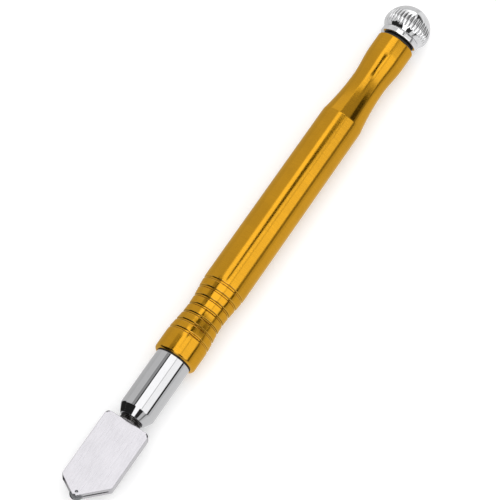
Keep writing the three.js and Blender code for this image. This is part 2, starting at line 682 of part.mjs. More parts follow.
// Height of a flute's trough, from none at its two ends to full depth at the knob's widest.
function fluteAt(station) {
  const reach = KNOB_SKIRT_LENGTH;
  const away = Math.abs(station - DOME_STATION - FLUTE_MIDDLE) / reach;
  return away >= 1 ? 0 : FLUTE_DEPTH * Math.cos((away * Math.PI) / 2);
}

function knobProfile() {
  const points = [[KNOB_STATION + SEAT_GAP, KNOB_WAIST_RADIUS]];
  const skirtSteps = 4;
  for (let i = 1; i <= skirtSteps; i += 1) {
    const along = i / skirtSteps;
    const swell = Math.sin((along * Math.PI) / 2);
    points.push([
      KNOB_STATION + KNOB_SKIRT_LENGTH * along,
      KNOB_WAIST_RADIUS + (KNOB_RADIUS - KNOB_WAIST_RADIUS) * swell,
    ]);
  }
  const domeSteps = 7;
  for (let i = 1; i <= domeSteps; i += 1) {
    const angle = (i / domeSteps) * (Math.PI / 2);
    points.push([
      DOME_STATION + KNOB_DOME_RADIUS * Math.sin(angle),
      i === domeSteps ? 0 : KNOB_RADIUS * Math.cos(angle),
    ]);
  }
  return points;
}

// The knob is turned first. Every second line of its side is then pressed in to make the flutes, a trough at
// the very bottom so that it rests on two lobes.
function capKnob() {
  const socket = CAP_BOSS_RADIUS + SEATED_FIT;
  const socketEnd = KNOB_STATION + CAP_BOSS_LENGTH + 2 * SEAT_GAP;
  const profile = [[socketEnd, 0], [socketEnd, socket], [KNOB_STATION + SEAT_GAP, socket], ...knobProfile()];
  const outline = profile.map(([station, radius]) => new THREE.Vector2(radius, station));
  const geometry = new THREE.LatheGeometry(outline, 2 * FLUTES);
  const position = geometry.attributes.position;
  for (let i = 0; i < position.count; i += 1) {
    const x = position.getX(i);
    const z = position.getZ(i);
    const radius = Math.hypot(x, z);
    const line = Math.floor(i / outline.length);
    const station = position.getY(i);
    if (radius < KNOB_WAIST_RADIUS - 1 || line % 2 === 1) continue;
    const scale = 1 - fluteAt(station) / radius;
    position.setX(i, x * scale);
    position.setZ(i, z * scale);
  }
  geometry.rotateZ(-Math.PI / 2);
  return named('cap_knob', geometry, CHROME);
}

// ---- Assembly, nested as the pieces carry each other ----
const head = groupOf(headPlate(), headShank(), oilWick(), wheelAxle(), cuttingWheel());
const holder = groupOf(headHolder(), holderSeal(), valveStem(), valveSeal(), head);
const nose = groupOf(
  noseCollar(), keyPin(), collarSeal(), springWasher(), valveSpring(), valveSeat(), seatGasket(), holder);
const cap = groupOf(capPlug(), capKnob(), capRing());
const glassCutter = groupOf(handleBarrel(), nose, cap);
glassCutter.name = 'glass_cutter';
const tool = groupOf(glassCutter);
glassCutter.position.set(-TOOL_LENGTH / 2, 0, AXIS_HEIGHT);

export default tool;
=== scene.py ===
"""Oil-feed glass cutter with a gold anodised barrel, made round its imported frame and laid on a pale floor."""
import json
import math

import bmesh
import bpy
from mathutils import Matrix, Vector


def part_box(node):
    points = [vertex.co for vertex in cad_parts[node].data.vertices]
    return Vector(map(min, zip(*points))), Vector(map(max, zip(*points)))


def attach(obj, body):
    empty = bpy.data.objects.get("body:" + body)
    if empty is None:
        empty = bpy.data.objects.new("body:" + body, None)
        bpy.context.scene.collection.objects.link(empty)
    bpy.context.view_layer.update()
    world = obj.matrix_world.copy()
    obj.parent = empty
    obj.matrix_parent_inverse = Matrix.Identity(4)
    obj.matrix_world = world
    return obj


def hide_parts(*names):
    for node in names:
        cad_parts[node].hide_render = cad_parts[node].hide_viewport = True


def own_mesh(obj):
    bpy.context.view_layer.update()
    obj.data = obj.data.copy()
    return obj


bl_info = {
    "name": "Glass cutter",
    "version": (1, 0, 0),
    "blender": (4, 5, 0),
    "location": "3D View > Sidebar > Glass cutter",
    "description": "Makes each piece of an oil-feed glass cutter and the stage it lies on",
    "category": "Object",
}

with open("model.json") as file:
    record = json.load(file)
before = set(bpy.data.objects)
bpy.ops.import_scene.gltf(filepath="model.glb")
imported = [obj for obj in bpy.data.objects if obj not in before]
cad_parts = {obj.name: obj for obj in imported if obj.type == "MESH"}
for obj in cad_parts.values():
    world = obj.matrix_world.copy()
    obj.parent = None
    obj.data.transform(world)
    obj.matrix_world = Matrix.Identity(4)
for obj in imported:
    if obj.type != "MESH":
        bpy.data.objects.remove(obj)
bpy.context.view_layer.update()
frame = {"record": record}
MM = 0.001

# ---------------------------------------------------------------- places taken from the frame

BODY_OF = {node: body for body, nodes in frame["record"]["behaviour"]["bodies"].items() for node in nodes}
SLOT_OF = {part["node"]: part["material_slot"] for part in frame["record"]["subparts"]}


def reach(node):
    """Where a node starts and ends along the handle."""
    low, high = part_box(node)
    return low[0], high[0]


def middle(node):
    """The middle of a node's box."""
    low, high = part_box(node)
    return (Vector(low) + Vector(high)) / 2


AXIS_HEIGHT = middle("handle_barrel").z
GAP = 0.05 * MM  # left between pieces that meet
SKIN = 0.05 * MM  # a thread is cut where a point's radius is this near the crest's
OUTER_SKIN = 5.0 * MM  # grooves and flutes are cut only outside this radius
WHITE = (1.0, 1.0, 1.0, 1.0)


# ---------------------------------------------------------------- sizes and colours a user would change

def length(name, default_mm, description):
    """A size property, given in millimetres and kept in metres."""
    return bpy.props.FloatProperty(
        name=name, description=description, default=default_mm * MM, min=0.0,
        precision=5, unit="LENGTH", subtype="DISTANCE")


def signed(name, default_mm, description):
    """A place property, which may be below zero."""
    return bpy.props.FloatProperty(
        name=name, description=description, default=default_mm * MM,
        precision=5, unit="LENGTH", subtype="DISTANCE")


def count(name, default, description):
    """A whole number property, at least one."""
    return bpy.props.IntProperty(name=name, description=description, default=default, min=1)


def angle(name, default_deg, description):
    """An angle property, given in degrees and kept in radians."""
    return bpy.props.FloatProperty(
        name=name, description=description, default=math.radians(default_deg), subtype="ANGLE")


def colour(name, default, description):
    """A colour property, with its alpha."""
    return bpy.props.FloatVectorProperty(
        name=name, description=description, default=default, size=4, min=0.0, max=1.0, subtype="COLOR")


class BarrelSizes(bpy.types.PropertyGroup):
    """Sizes of the anodised barrel."""

    radius: length("Radius", 6.5, "Radius of the main length at the grip end")
    flare: length("Flare", 5.3, "Length of the plain end next to the collar")
    grip: length("Grip", 21.4, "Length of the waisted grip")
    grip_depth: length("Grip depth", 0.82, "How far the grip's waist lies below the main radius")
    main: length("Main length", 59.0, "Length of the plain middle")
    taper: length("Taper", 0.18, "Radius lost over the main length")
    fall: length("Neck fall", 13.9, "From the shoulder to the thinnest place of the neck")
    rise: length("Neck rise", 9.1, "From the thinnest place of the neck to the top land")
    neck_depth: length("Neck depth", 1.32, "How far the neck drops below the shoulder")
    top_rise: length("Top rise", 0.65, "How far the top land stands above the neck")
    neck_wall: length("Neck wall", 1.0, "Wall left at the thinnest place of the neck")
    mouth_round: length("Mouth round", 0.75, "Rounding of the lower end")
    grooves: count("Grooves", 7, "Number of grip grooves")
    groove_pitch: length("Groove pitch", 2.9, "From one grip groove to the next")
    groove_width: length("Groove width", 1.0, "Width of a groove at the surface")
    groove_floor: length("Groove floor", 0.4, "Width of a groove at its floor")
    groove_depth: length("Groove depth", 0.28, "Depth of a groove")


class CollarSizes(bpy.types.PropertyGroup):
    """Sizes of the chromed collar and what slides in it."""

    radius: length("Radius", 5.35, "Radius of the collar")
    cone: length("Cone", 2.6, "Length of the cone")
    lip_radius: length("Lip radius", 3.85, "Radius of the cone's small end")
    mouth: length("Mouth", 3.42, "Radius of the hole that the neck passes")
    spigot: length("Spigot", 4.6, "Radius of the spigot in the barrel")
    bore: length("Bore", 3.9, "Radius of the bore that the holder slides in")


class HeadSizes(bpy.types.PropertyGroup):
    """Sizes of the cutting head."""

    tip_cover: length("Tip cover", 1.1, "Metal beyond the axle's centre")
    v_sharpness: length("Tip rounding", 0.45, "From the rounded tip to the point of the V")
    shallow_rise: length("Shallow corner", 3.7, "From the point of the V to the corner on the wheel's side")
    steep_rise: length("Steep corner", 7.6, "From the point of the V to the far corner")
    edge: length("Edge rounding", 0.38, "Rounding of the plate's edges")
    slot_width: length("Slot width", 0.9, "Width of the wheel's slot")
    slot_depth: length("Slot depth", 6.5, "Depth of the wheel's slot from the tip")
    neck_radius: length("Neck radius", 3.3, "Crest radius of the neck's thread")
    pitch: length("Thread pitch", 0.5, "Pitch of the neck's thread")
    thread_depth: length("Thread depth", 0.25, "Depth of the neck's thread")
    axle_sunk: length("Axle sunk", 0.9, "How far the axle's ends lie below the broad faces")
    passage: length("Oil passage", 0.85, "Radius of the passage that holds the wick")


class CapSizes(bpy.types.PropertyGroup):
    """Sizes of the filler cap."""

    flutes: count("Flutes", 36, "Number of flutes round the knob")
    flute_depth: length("Flute depth", 0.42, "Depth of a flute at the knob's widest")
    flute_reach: length("Flute reach", 2.3, "From a flute's middle to either end")
    flute_middle: length("Flute middle", 0.55, "How far the flutes' middle stands above the dome's centre")
    radius: length("Radius", 6.9, "Radius of the knob")
    dome: length("Dome", 6.8, "Height of the dome above its centre")
    waist: length("Waist", 5.6, "Radius of the knob where it meets the flange")
    pitch: length("Thread pitch", 1.0, "Pitch of the cap's thread")
    thread_depth: length("Thread depth", 0.4, "Depth of the cap's thread")
    thread_step: length("Thread step", 0.3, "How much tighter the threaded mouth is than the reservoir")


class StageSizes(bpy.types.PropertyGroup):
    """The camera and the lights."""

    distance: length("Camera distance", 1500.0, "From the middle of the tool to the camera")
    width: length("Picture width", 139.6, "Width across the longer side of the picture at the tool")
    lean_along: angle("Lean along", 17.5, "Lean of the view towards the head end")
    lean_across: angle("Lean across", 10.6, "Lean of the view towards the steep side of the head")
    roll: angle("Roll", 54.87, "Angle of the handle above the horizontal in the picture")
    shift_right: signed("Shift right", -0.53, "From the handle's middle to the picture's middle, rightwards")
    shift_up: signed("Shift up", 0.5, "From the handle's middle to the picture's middle, upwards")
    light_distance: length("Light distance", 1600.0, "From the tool to the soft boxes")


class FinishColours(bpy.types.PropertyGroup):
    """Colours of the finishes."""

    gold: colour("Gold", (0.70, 0.338, 0.012, 1.0), "Gold anodising")
    gold_glint: colour("Gold glint", (1.0, 0.86, 0.50, 1.0), "Gold anodising at a grazing angle")
    chrome: colour("Chrome", (0.64, 0.64, 0.65, 1.0), "Polished chromium")
    # Painted highlight: the filler cap's dome is given a brighter chromium colour over a span along the handle.
    cap_highlight_chrome: colour("Cap highlight chrome", (0.90, 0.90, 0.91, 1.0), "Filler cap chromium painted brighter as a highlight")
    cap_highlight_zone: bpy.props.FloatVectorProperty(
        name="Cap highlight zone", description="Millimetres from the tool's middle over which a painted highlight brightens the chromium",
        default=(66.0, 72.0), size=2)
    plate: colour("Plate", (0.56, 0.547, 0.575, 1.0), "Satin chromium of the head")
    blacked: colour("Blacked steel", (0.034, 0.031, 0.029, 1.0), "Blacked thread")
    brass: colour("Brass", (0.70, 0.50, 0.20, 1.0), "Turned brass")
    steel: colour("Steel", (0.46, 0.46, 0.47, 1.0), "Bright steel")
    carbide: colour("Carbide", (0.20, 0.205, 0.21, 1.0), "Ground tungsten carbide")
    rubber: colour("Rubber", (0.012, 0.012, 0.012, 1.0), "Black rubber")
    fibre: colour("Fibre", (0.30, 0.055, 0.035, 1.0), "Red fibre")
    cotton: colour("Cotton", (0.80, 0.74, 0.62, 1.0), "Cotton wick")
    floor: colour("Floor", (0.90, 0.90, 0.90, 1.0), "Floor")


GROUPS = {
    "cutter_barrel": BarrelSizes,
    "cutter_collar": CollarSizes,
    "cutter_head": HeadSizes,
    "cutter_cap": CapSizes,
    "cutter_stage": StageSizes,
    "cutter_finish": FinishColours,
}


# ---------------------------------------------------------------- node trees written as arithmetic

class Term:
    """A socket of a node tree that takes part in Python arithmetic."""

    def __init__(self, graph, socket):
        self.graph = graph
        self.socket = socket

    def math(self, operation, *others, first=None):
        """One Math node on this socket and any other values, or with first in front of this socket."""
        values = [self, *others] if first is None else [first, self]
        feeds = dict(enumerate(values))
        return self.graph.add("ShaderNodeMath", {"operation": operation}, feeds)

    def __add__(self, other):
        return self.math("ADD", other)

    def __radd__(self, other):
        return self.math("ADD", other)

    def __sub__(self, other):
        return self.math("SUBTRACT", other)

    def __rsub__(self, other):
        return self.math("SUBTRACT", first=other)

    def __mul__(self, other):
        return self.math("MULTIPLY", other)

    def __rmul__(self, other):
        return self.math("MULTIPLY", other)

    def __truediv__(self, other):
        return self.math("DIVIDE", other)

    def __rtruediv__(self, other):
        return self.math("DIVIDE", first=other)

    def __pow__(self, other):
        return self.math("POWER", other)

    def __abs__(self):
        return self.math("ABSOLUTE")

    def part(self, name):
        """Another output of the same node."""
        return Term(self.graph, self.socket.node.outputs[name])

    def ramp(self, low, high, start=0.0, end=1.0, smooth=True):
        """This value carried from low..high to start..end, and held there outside."""
        kind = "SMOOTHSTEP" if smooth else "LINEAR"
        feeds = {"Value": self, "From Min": low, "From Max": high, "To Min": start, "To Max": end}
        return self.graph.add("ShaderNodeMapRange", {"interpolation_type": kind}, feeds)


class Graph:
    """A node tree, with one way to add any node to it."""

    def __init__(self, tree):
        self.tree = tree

    def add(self, kind, settings=None, feeds=None, out=0):
        """Adds a node, sets it, feeds its sockets with values or links, and gives one of its outputs."""
        node = self.tree.nodes.new(kind)
        for key, value in (settings or {}).items():
            setattr(node, key, value)
        for key, value in (feeds or {}).items():
            if isinstance(value, Term):
                self.tree.links.new(value.socket, node.inputs[key])
            else:
                node.inputs[key].default_value = value
        return Term(self, node.outputs[out]) if len(node.outputs) else node

    def vector(self, operation, *values):
        """One Vector Math node. A plain number feeds the Scale socket of SCALE."""
        feeds = dict(enumerate(values))
        if operation == "SCALE":
            feeds = {0: values[0], "Scale": values[1]}
        return self.add("ShaderNodeVectorMath", {"operation": operation}, feeds)

    def mix(self, factor, a, b):
        """Two colours mixed."""
        feeds = {"Factor": factor, 6: a, 7: b}
        return self.add("ShaderNodeMix", {"data_type": "RGBA"}, feeds, out=2)

    def xyz(self, vector):
        """The three parts of a vector."""
        split = self.add("ShaderNodeSeparateXYZ", None, {0: vector})
        return split, split.part("Y"), split.part("Z")

    def join(self, x, y, z):
        """A vector from its three parts."""
        return self.add("ShaderNodeCombineXYZ", None, {0: x, 1: y, 2: z})


# ---------------------------------------------------------------- finishes

class Finish(Graph):
    """A material's tree with its shader, and the coordinates of the piece in millimetres."""

    def __init__(self, name):
        made = bpy.data.materials.new(name)
        made.use_nodes = True
        super().__init__(made.node_tree)
        self.material = made
        self.tree.nodes.clear()
        self.shader = self.tree.nodes.new("ShaderNodeBsdfPrincipled")
        output = self.tree.nodes.new("ShaderNodeOutputMaterial")
        self.tree.links.new(self.shader.outputs[0], output.inputs[0])
        place = self.add("ShaderNodeTexCoord", out="Object")
        centred = self.vector("SUBTRACT", place, (0.0, 0.0, AXIS_HEIGHT))
        self.place = self.vector("SCALE", centred, 1 / MM)

    def noise(self, scale, detail=3.0, rough=0.55, stretch=(1.0, 1.0, 1.0)):
        """Noise on the piece, with scale in cycles per millimetre."""
        point = self.vector("MULTIPLY", self.place, stretch)
        feeds = {"Vector": point, "Scale": scale, "Detail": detail, "Roughness": rough}
        return self.add("ShaderNodeTexNoise", None, feeds, "Fac")

    def mark(self, name):
        """How much the piece turns outward at an edge, or inward in one of its hollows, as marked on its mesh;
        the inward mark serves as a mask for painted shade.
        """
        return self.add("ShaderNodeAttribute", {"attribute_name": name}, None, "Fac")

    def bump(self, height, strength, depth_mm):
        """A normal tilted by a height, whose full swing is depth_mm."""
        feeds = {"Height": height, "Strength": strength, "Distance": depth_mm * MM}
        return self.add("ShaderNodeBump", None, feeds)

    def set(self, **values):
        """Sets the shader's sockets, named with underscores for spaces."""
        for key, value in values.items():
            socket = self.shader.inputs[key.replace("_", " ")]
            if isinstance(value, Term):
                self.tree.links.new(value.socket, socket)
            else:
                socket.default_value = value
        return self.material


RUBBED_GOLD = (0.95, 0.66, 0.20, 1.0)
BARE_STEEL = (0.42, 0.41, 0.40, 1.0)
GROUND_EDGE = (0.55, 0.55, 0.56, 1.0)
OIL_STAIN = (0.42, 0.32, 0.16, 1.0)


def shade(tint, factor):
    """A colour made lighter or darker."""
    return tuple(min(1.0, part * factor) for part in tint[:3]) + (1.0,)


def gold_anodise(tints):
    """Bright anodising over fine turning marks, with the dye a little uneven and thinner on the edges, and
    painted shade darkening its grooves and other hollows.
    """
    finish = Finish("gold anodise")
    gold = tuple(tints.gold)
    turning = finish.noise(7.0, detail=2.0, stretch=(1.0, 0.04, 0.04))
    chatter = finish.noise(1.1, detail=1.0, stretch=(1.0, 0.6, 0.6))
    dye = finish.noise(0.12, detail=4.0)
    rubbed = finish.mark("edge") * finish.noise(1.5).ramp(0.35, 0.65, 0.25, 1.0)
    body = finish.mix(dye.ramp(0.3, 0.7), shade(gold, 0.93), shade(gold, 1.04))
    streaked = finish.mix(turning.ramp(0.35, 0.7) * 0.35, body, shade(gold, 0.86))
    rubbed_tone = finish.mix(rubbed * 0.30, streaked, RUBBED_GOLD)
    # Painted shade: the grooves and other hollows are darkened to near black.
    tone = finish.mix(finish.mark("hollow") * 0.85, rubbed_tone, shade(gold, 0.12))
    height = turning * 0.5 + chatter * 0.9
    return finish.set(
        Base_Color=tone,
        Metallic=1.0,
        Roughness=turning.ramp(0.2, 0.8, 0.13, 0.19) + rubbed * 0.08,
        Specular_Tint=tuple(tints.gold_glint),
        Coat_Weight=0.22,
        Coat_Roughness=0.10,
        Normal=finish.bump(height, 0.35, 0.0045))


def chrome_plate(tints):
    """Polished chromium with faint smears and hairline wiping marks, with a painted highlight that brightens the
    filler cap's dome, and painted shade in its hollows.
    """
    finish = Finish("chrome plate")
    chrome = tuple(tints.chrome)
    smear = finish.noise(0.35, detail=5.0, rough=0.6)
    hairs = finish.noise(9.0, detail=2.0, stretch=(1.0, 0.05, 0.05))
    along = finish.xyz(finish.place)[0]
    # Painted highlight: the chromium is carried to a brighter colour over the filler cap's dome.
    chrome_and_cap_highlight = finish.mix(along.ramp(*tints.cap_highlight_zone), chrome, tuple(tints.cap_highlight_chrome))
    smeared = finish.mix(smear.ramp(0.35, 0.75) * 0.5, chrome_and_cap_highlight, shade(chrome, 0.94))
    # Painted shade: the hollows, such as the valleys between the knob's flutes, are darkened to near black.
    tone = finish.mix(finish.mark("hollow") * 0.85, smeared, shade(chrome, 0.08))
    return finish.set(
        Base_Color=tone,
        Metallic=1.0,
        Roughness=smear.ramp(0.3, 0.8, 0.035, 0.085) + hairs.ramp(0.4, 0.7, 0.0, 0.02),
        Normal=finish.bump(hairs, 0.12, 0.0012))


def satin_plate(tints):
    """Plated die casting, linished lengthwise on its broad faces, with an orange-peel undertone and its rounded
    edges darkened as a painted reflection of dark surroundings.
    """
    finish = Finish("satin plate")
    plate = tuple(tints.plate)
    grain = finish.noise(5.0, detail=3.0, stretch=(0.05, 1.0, 0.6))
    peel = finish.noise(1.6, detail=2.0)
    cloud = finish.noise(0.16, detail=3.0)
    tone = finish.mix(cloud.ramp(0.3, 0.7), shade(plate, 0.97), shade(plate, 1.02))
    lined = finish.mix(grain.ramp(0.45, 0.75) * 0.12, tone, shade(plate, 0.90))
    # Painted reflection: the rounded edges are darkened as if they mirrored dark surroundings.
    painted_dark_edges = finish.mix(finish.mark("edge").ramp(0.0, 0.5) * 0.9, lined, shade(plate, 0.22))
    return finish.set(
        Base_Color=painted_dark_edges,
        Metallic=1.0,
        Roughness=grain.ramp(0.3, 0.7, 0.20, 0.29),
        Normal=finish.bump(grain * 0.35 + peel * 0.5, 0.15, 0.0035))


def blacked_steel(tints):
    """Blacked and oiled steel, rubbed bright on its crests, with painted shade darkening its hollows."""
    finish = Finish("blacked steel")
    black = tuple(tints.blacked)
    patch = finish.noise(1.3, detail=4.0)
    rubbed = (finish.mark("edge") * patch.ramp(0.3, 0.6)).ramp(0.1, 1.0)
    # Painted shade: the hollows of the thread are darkened.
    painted_hollow_shade = finish.mix(finish.mark("hollow") * 0.9, black, shade(black, 0.2))
    tone = finish.mix(rubbed * 0.85, painted_hollow_shade, BARE_STEEL)
    return finish.set(
        Base_Color=tone,
        Metallic=0.9,
        Roughness=patch.ramp(0.3, 0.7, 0.14, 0.26),
        Normal=finish.bump(finish.noise(6.0), 0.2, 0.004))


def turned_brass(tints):
    """Turned brass with tool marks and a little tarnish."""
    finish = Finish("turned brass")
    brass = tuple(tints.brass)
    marks = finish.noise(8.0, detail=1.0, stretch=(1.0, 0.05, 0.05))
    tarnish = finish.noise(0.5, detail=5.0)
    tone = finish.mix(tarnish.ramp(0.4, 0.75), brass, shade(brass, 0.62))
    return finish.set(
        Base_Color=tone,
        Metallic=1.0,
        Roughness=tarnish.ramp(0.3, 0.7, 0.22, 0.38),
        Normal=finish.bump(marks, 0.4, 0.006))


def bright_steel(tints):
    """Drawn and ground steel."""
    finish = Finish("bright steel")
    steel = tuple(tints.steel)
    drawn = finish.noise(6.0, detail=2.0, stretch=(0.15, 1.0, 1.0))
    film = finish.noise(0.8, detail=4.0)
    tone = finish.mix(film.ramp(0.35, 0.7), steel, shade(steel, 0.80))
    return finish.set(
        Base_Color=tone,
        Metallic=1.0,
        Roughness=drawn.ramp(0.3, 0.7, 0.18, 0.32),
        Normal=finish.bump(drawn, 0.25, 0.004))


def ground_carbide(tints):
    """Sintered carbide with the fine lines of its grinding."""
    finish = Finish("ground carbide")
    carbide = tuple(tints.carbide)
    speck = finish.noise(14.0, detail=2.0)
    lines = finish.noise(10.0, detail=1.0, stretch=(1.0, 1.0, 6.0))
    tone = finish.mix(speck.ramp(0.4, 0.7), carbide, shade(carbide, 1.35))
    bright = finish.mix(finish.mark("edge") * 0.5, tone, GROUND_EDGE)
    return finish.set(
        Base_Color=bright,
        Metallic=0.95,
        Roughness=lines.ramp(0.3, 0.7, 0.16, 0.30),
        Normal=finish.bump(lines, 0.3, 0.003))


def black_rubber(tints):
    """Moulded rubber with an oily bloom."""
    finish = Finish("black rubber")
    rubber = tuple(tints.rubber)
    bloom = finish.noise(0.9, detail=4.0)
    pores = finish.noise(9.0, detail=2.0)
    tone = finish.mix(bloom.ramp(0.4, 0.8), rubber, shade(rubber, 2.2))
    return finish.set(
        Base_Color=tone,
        Metallic=0.0,
        Roughness=bloom.ramp(0.3, 0.7, 0.42, 0.62),
        Normal=finish.bump(pores, 0.4, 0.012))


def red_fibre(tints):
    """Vulcanised fibre with its paper grain."""
    finish = Finish("red fibre")
    fibre = tuple(tints.fibre)
    grain = finish.noise(3.0, detail=5.0, stretch=(4.0, 1.0, 1.0))
    tone = finish.mix(grain.ramp(0.35, 0.7), shade(fibre, 0.7), shade(fibre, 1.2))
    return finish.set(
        Base_Color=tone,
        Metallic=0.0,
        Roughness=grain.ramp(0.3, 0.7, 0.65, 0.85),
        Normal=finish.bump(grain, 0.5, 0.02))


def cotton_yarn(tints):
    """Loose cotton yarn, darker where oil has soaked in."""
    finish = Finish("cotton yarn")
    cotton = tuple(tints.cotton)
    hairs = finish.noise(6.0, detail=4.0, stretch=(0.4, 1.0, 1.0))
    soak = finish.noise(0.12, detail=2.0)
    tone = finish.mix(hairs.ramp(0.35, 0.7), shade(cotton, 0.72), cotton)
    oiled = finish.mix(soak.ramp(0.45, 0.6) * 0.6, tone, OIL_STAIN)
    return finish.set(
        Base_Color=oiled,
        Metallic=0.0,
        Roughness=hairs.ramp(0.3, 0.7, 0.75, 0.95),
        Normal=finish.bump(hairs, 0.8, 0.03))


FINISH_MAKERS = {
    "gold_anodised": gold_anodise,
    "chrome": chrome_plate,
    "satin_chrome": satin_plate,
    "blacked_steel": blacked_steel,
    "brass": turned_brass,
    "steel": bright_steel,
    "carbide": ground_carbide,
    "rubber": black_rubber,
    "fibre": red_fibre,
    "cotton": cotton_yarn,
}
FINISHES = {}


def finish_for(slot, scene):
    """The material of a slot, made the first time it is asked for."""
    if slot not in FINISHES:
        FINISHES[slot] = FINISH_MAKERS[slot](scene.cutter_finish)
    return FINISHES[slot]


# ---------------------------------------------------------------- meshes

CREASE = math.radians(38)
EDGE_START = 0.11  # radians of outward turn between faces where an edge begins to count as one
EDGE_TURN = 0.22  # and how much more makes it a full edge
FLAT_AREA = 0.8e-6  # faces of a cut block at least this large are shaded flat
BROAD_AREA = 5e-6  # the corners of faces at least this large aren't marked as edges or hollows


def fillet(points, steps=5):
    """Rounds the corners of a closed (x, radius[, round]) profile. Points with no round stay sharp.

    A short support length is left at each end of an arc, so that the flats beside it stay flat when shaded.
    """
    made = []
    total = len(points)
    for i, point in enumerate(points):
        corner = Vector(point[:2])
        radius = point[2] if len(point) > 2 else 0.0
        before = Vector(points[i - 1][:2]) - corner
        after = Vector(points[(i + 1) % total][:2]) - corner
        if radius <= 0.0 or before.length < 1e-9 or after.length < 1e-9:
            made.append(tuple(corner))
            continue
        half = before.angle(after) / 2
        tangent = min(radius / math.tan(half), before.length * 0.45, after.length * 0.45)
        support = min(tangent * 1.25, before.length * 0.49, after.length * 0.49)
        start = corner + before.normalized() * tangent
        end = corner + after.normalized() * tangent
        made.append(tuple(corner + before.normalized() * support))
        for k in range(steps + 1):
            t = k / steps
            made.append(tuple(start * (1 - t) ** 2 + corner * 2 * t * (1 - t) + end * t ** 2))
        made.append(tuple(corner + after.normalized() * support))
    return made


def stretch(start, end, shape, steps):
    """Points (x, shape(t)) from start to end, without the last."""
    return [(start + (end - start) * i / steps, shape(i / steps)) for i in range(steps)]


def finished(name, shell):
    """A bmesh made into an object: doubles merged, faces turned out, smooth with creases, edges marked."""
    bmesh.ops.remove_doubles(shell, verts=shell.verts, dist=1e-8)
    bmesh.ops.recalc_face_normals(shell, faces=shell.faces)
    mesh = bpy.data.meshes.new(name)
    shell.to_mesh(mesh)
    shell.free()
    return shaded(bpy.data.objects.new(name, mesh))


def shaded(piece, block=False):
    """Smooths a piece except at its creases and on the flats of a block, and marks its edges, and its hollows as
    a mask for painted shade.
    """
    mesh = piece.data
    shell = bmesh.new()
    shell.from_mesh(mesh)
    # The mark of the hollows is a mask for painted shade, which the finishes darken into them.
    turns = {"edge": [0.0] * len(shell.verts), "hollow": [0.0] * len(shell.verts)}
    for face in shell.faces:
        face.smooth = not (block and face.calc_area() > FLAT_AREA)
    for edge in shell.edges:
        bend = edge.calc_face_angle_signed(0.0)
        edge.smooth = abs(bend) < CREASE
        for name, swing in (("edge", bend), ("hollow", -bend)):
            for corner in edge.verts:
                turns[name][corner.index] = max(turns[name][corner.index], swing)
    if block:
        broad = [face for face in shell.faces if len(face.verts) > 4 or face.calc_area() > BROAD_AREA]
        for corner in {corner.index for face in broad for corner in face.verts}:
            turns["edge"][corner] = turns["hollow"][corner] = 0.0
    shell.to_mesh(mesh)
    shell.free()
    for name, turn in turns.items():
        if name in mesh.attributes:
            mesh.attributes.remove(mesh.attributes[name])
        marks = mesh.attributes.new(name, "FLOAT", "POINT")
        shares = [min(1.0, max(0.0, value - EDGE_START) / EDGE_TURN) for value in turn]
        marks.data.foreach_set("value", shares)
    return piece


def link(piece, scene):
    """Puts a piece in the scene, if it isn't there yet."""
    if piece.name not in scene.collection.objects:
        scene.collection.objects.link(piece)


def evaluated_mesh(piece):
    """Replaces a piece's mesh by what its modifiers make of it, and removes them."""
    bpy.context.view_layer.update()
    evaluated = piece.evaluated_get(bpy.context.evaluated_depsgraph_get())
    mesh = bpy.data.meshes.new_from_object(evaluated)
    piece.modifiers.clear()
    old = piece.data
    piece.data = mesh
    bpy.data.meshes.remove(old)
    mesh.name = piece.name
    return piece


def cut(piece, cutters, scene, block=False):
    """Takes the cutters out of a piece."""
    for part in (piece, *cutters):
        link(part, scene)
    for cutter in cutters:
        modifier = piece.modifiers.new(cutter.name, "BOOLEAN")
        modifier.operation = "DIFFERENCE"
        modifier.solver = "EXACT"
        modifier.object = cutter
    evaluated_mesh(piece)
    for cutter in cutters:
        mesh = cutter.data
        bpy.data.objects.remove(cutter)
        bpy.data.meshes.remove(mesh)
    return shaded(piece, block)


def box_cutter(name, low, high):
    """A plain block to cut with."""
    shell = bmesh.new()
    bmesh.ops.create_cube(shell, size=1.0)
    low, high = Vector(low), Vector(high)
    size = high - low
    shell.transform(Matrix.Translation((low + high) / 2) @ Matrix.Diagonal((*size, 1.0)))
    return finished(name, shell)


def rod(name, place, end, radius, segments=24, **where):
    """A solid round bar, used as a cutter."""
    return revolve(name, [(place, 0.0), (place, radius), (end, radius), (end, 0.0)], segments, **where)


def revolve(name, profile, segments=128, closed=True, axis="X", centre=None):
    """Turns a profile of (place, radius) points round the handle's axis, or round Z through centre."""
    shell = bmesh.new()
    origin = centre or Vector((0.0, 0.0, AXIS_HEIGHT))
    rings = []
    for place, radius in profile:
        if radius < 1e-9:
            point = (place, 0.0, 0.0) if axis == "X" else (0.0, 0.0, place)
            rings.append([shell.verts.new(Vector(point) + origin)])
            continue
        ring = []
        for i in range(segments):
            turn = 2 * math.pi * i / segments
            a, b = radius * math.sin(turn), -radius * math.cos(turn)
            point = (place, a, b) if axis == "X" else (a, b, place)
            ring.append(shell.verts.new(Vector(point) + origin))
        rings.append(ring)
    pairs = list(zip(rings, rings[1:]))
    if closed:
        pairs.append((rings[-1], rings[0]))
    for low, high in pairs:
        if len(low) == 1 and len(high) == 1:
            continue
        for i in range(segments):
            j = (i + 1) % segments
            corners = [low[i % len(low)], low[j % len(low)], high[j % len(high)], high[i % len(high)]]
            shell.faces.new(list(dict.fromkeys(corners)))
    return finished(name, shell)


def upright_pin(name, node, rounding, segments, centre, sunk=0.0):
    """A round pin square to the head's broad faces, with rounded ends sunk below those of its node."""
    low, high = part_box(node)
    half, radius = (high[2] - low[2]) / 2 - sunk, (high[0] - low[0]) / 2
    profile = [(-half, 0.0), (-half, radius, rounding), (half, radius, rounding), (half, 0.0)]
    return revolve(name, fillet(profile), segments, axis="Z", centre=centre)


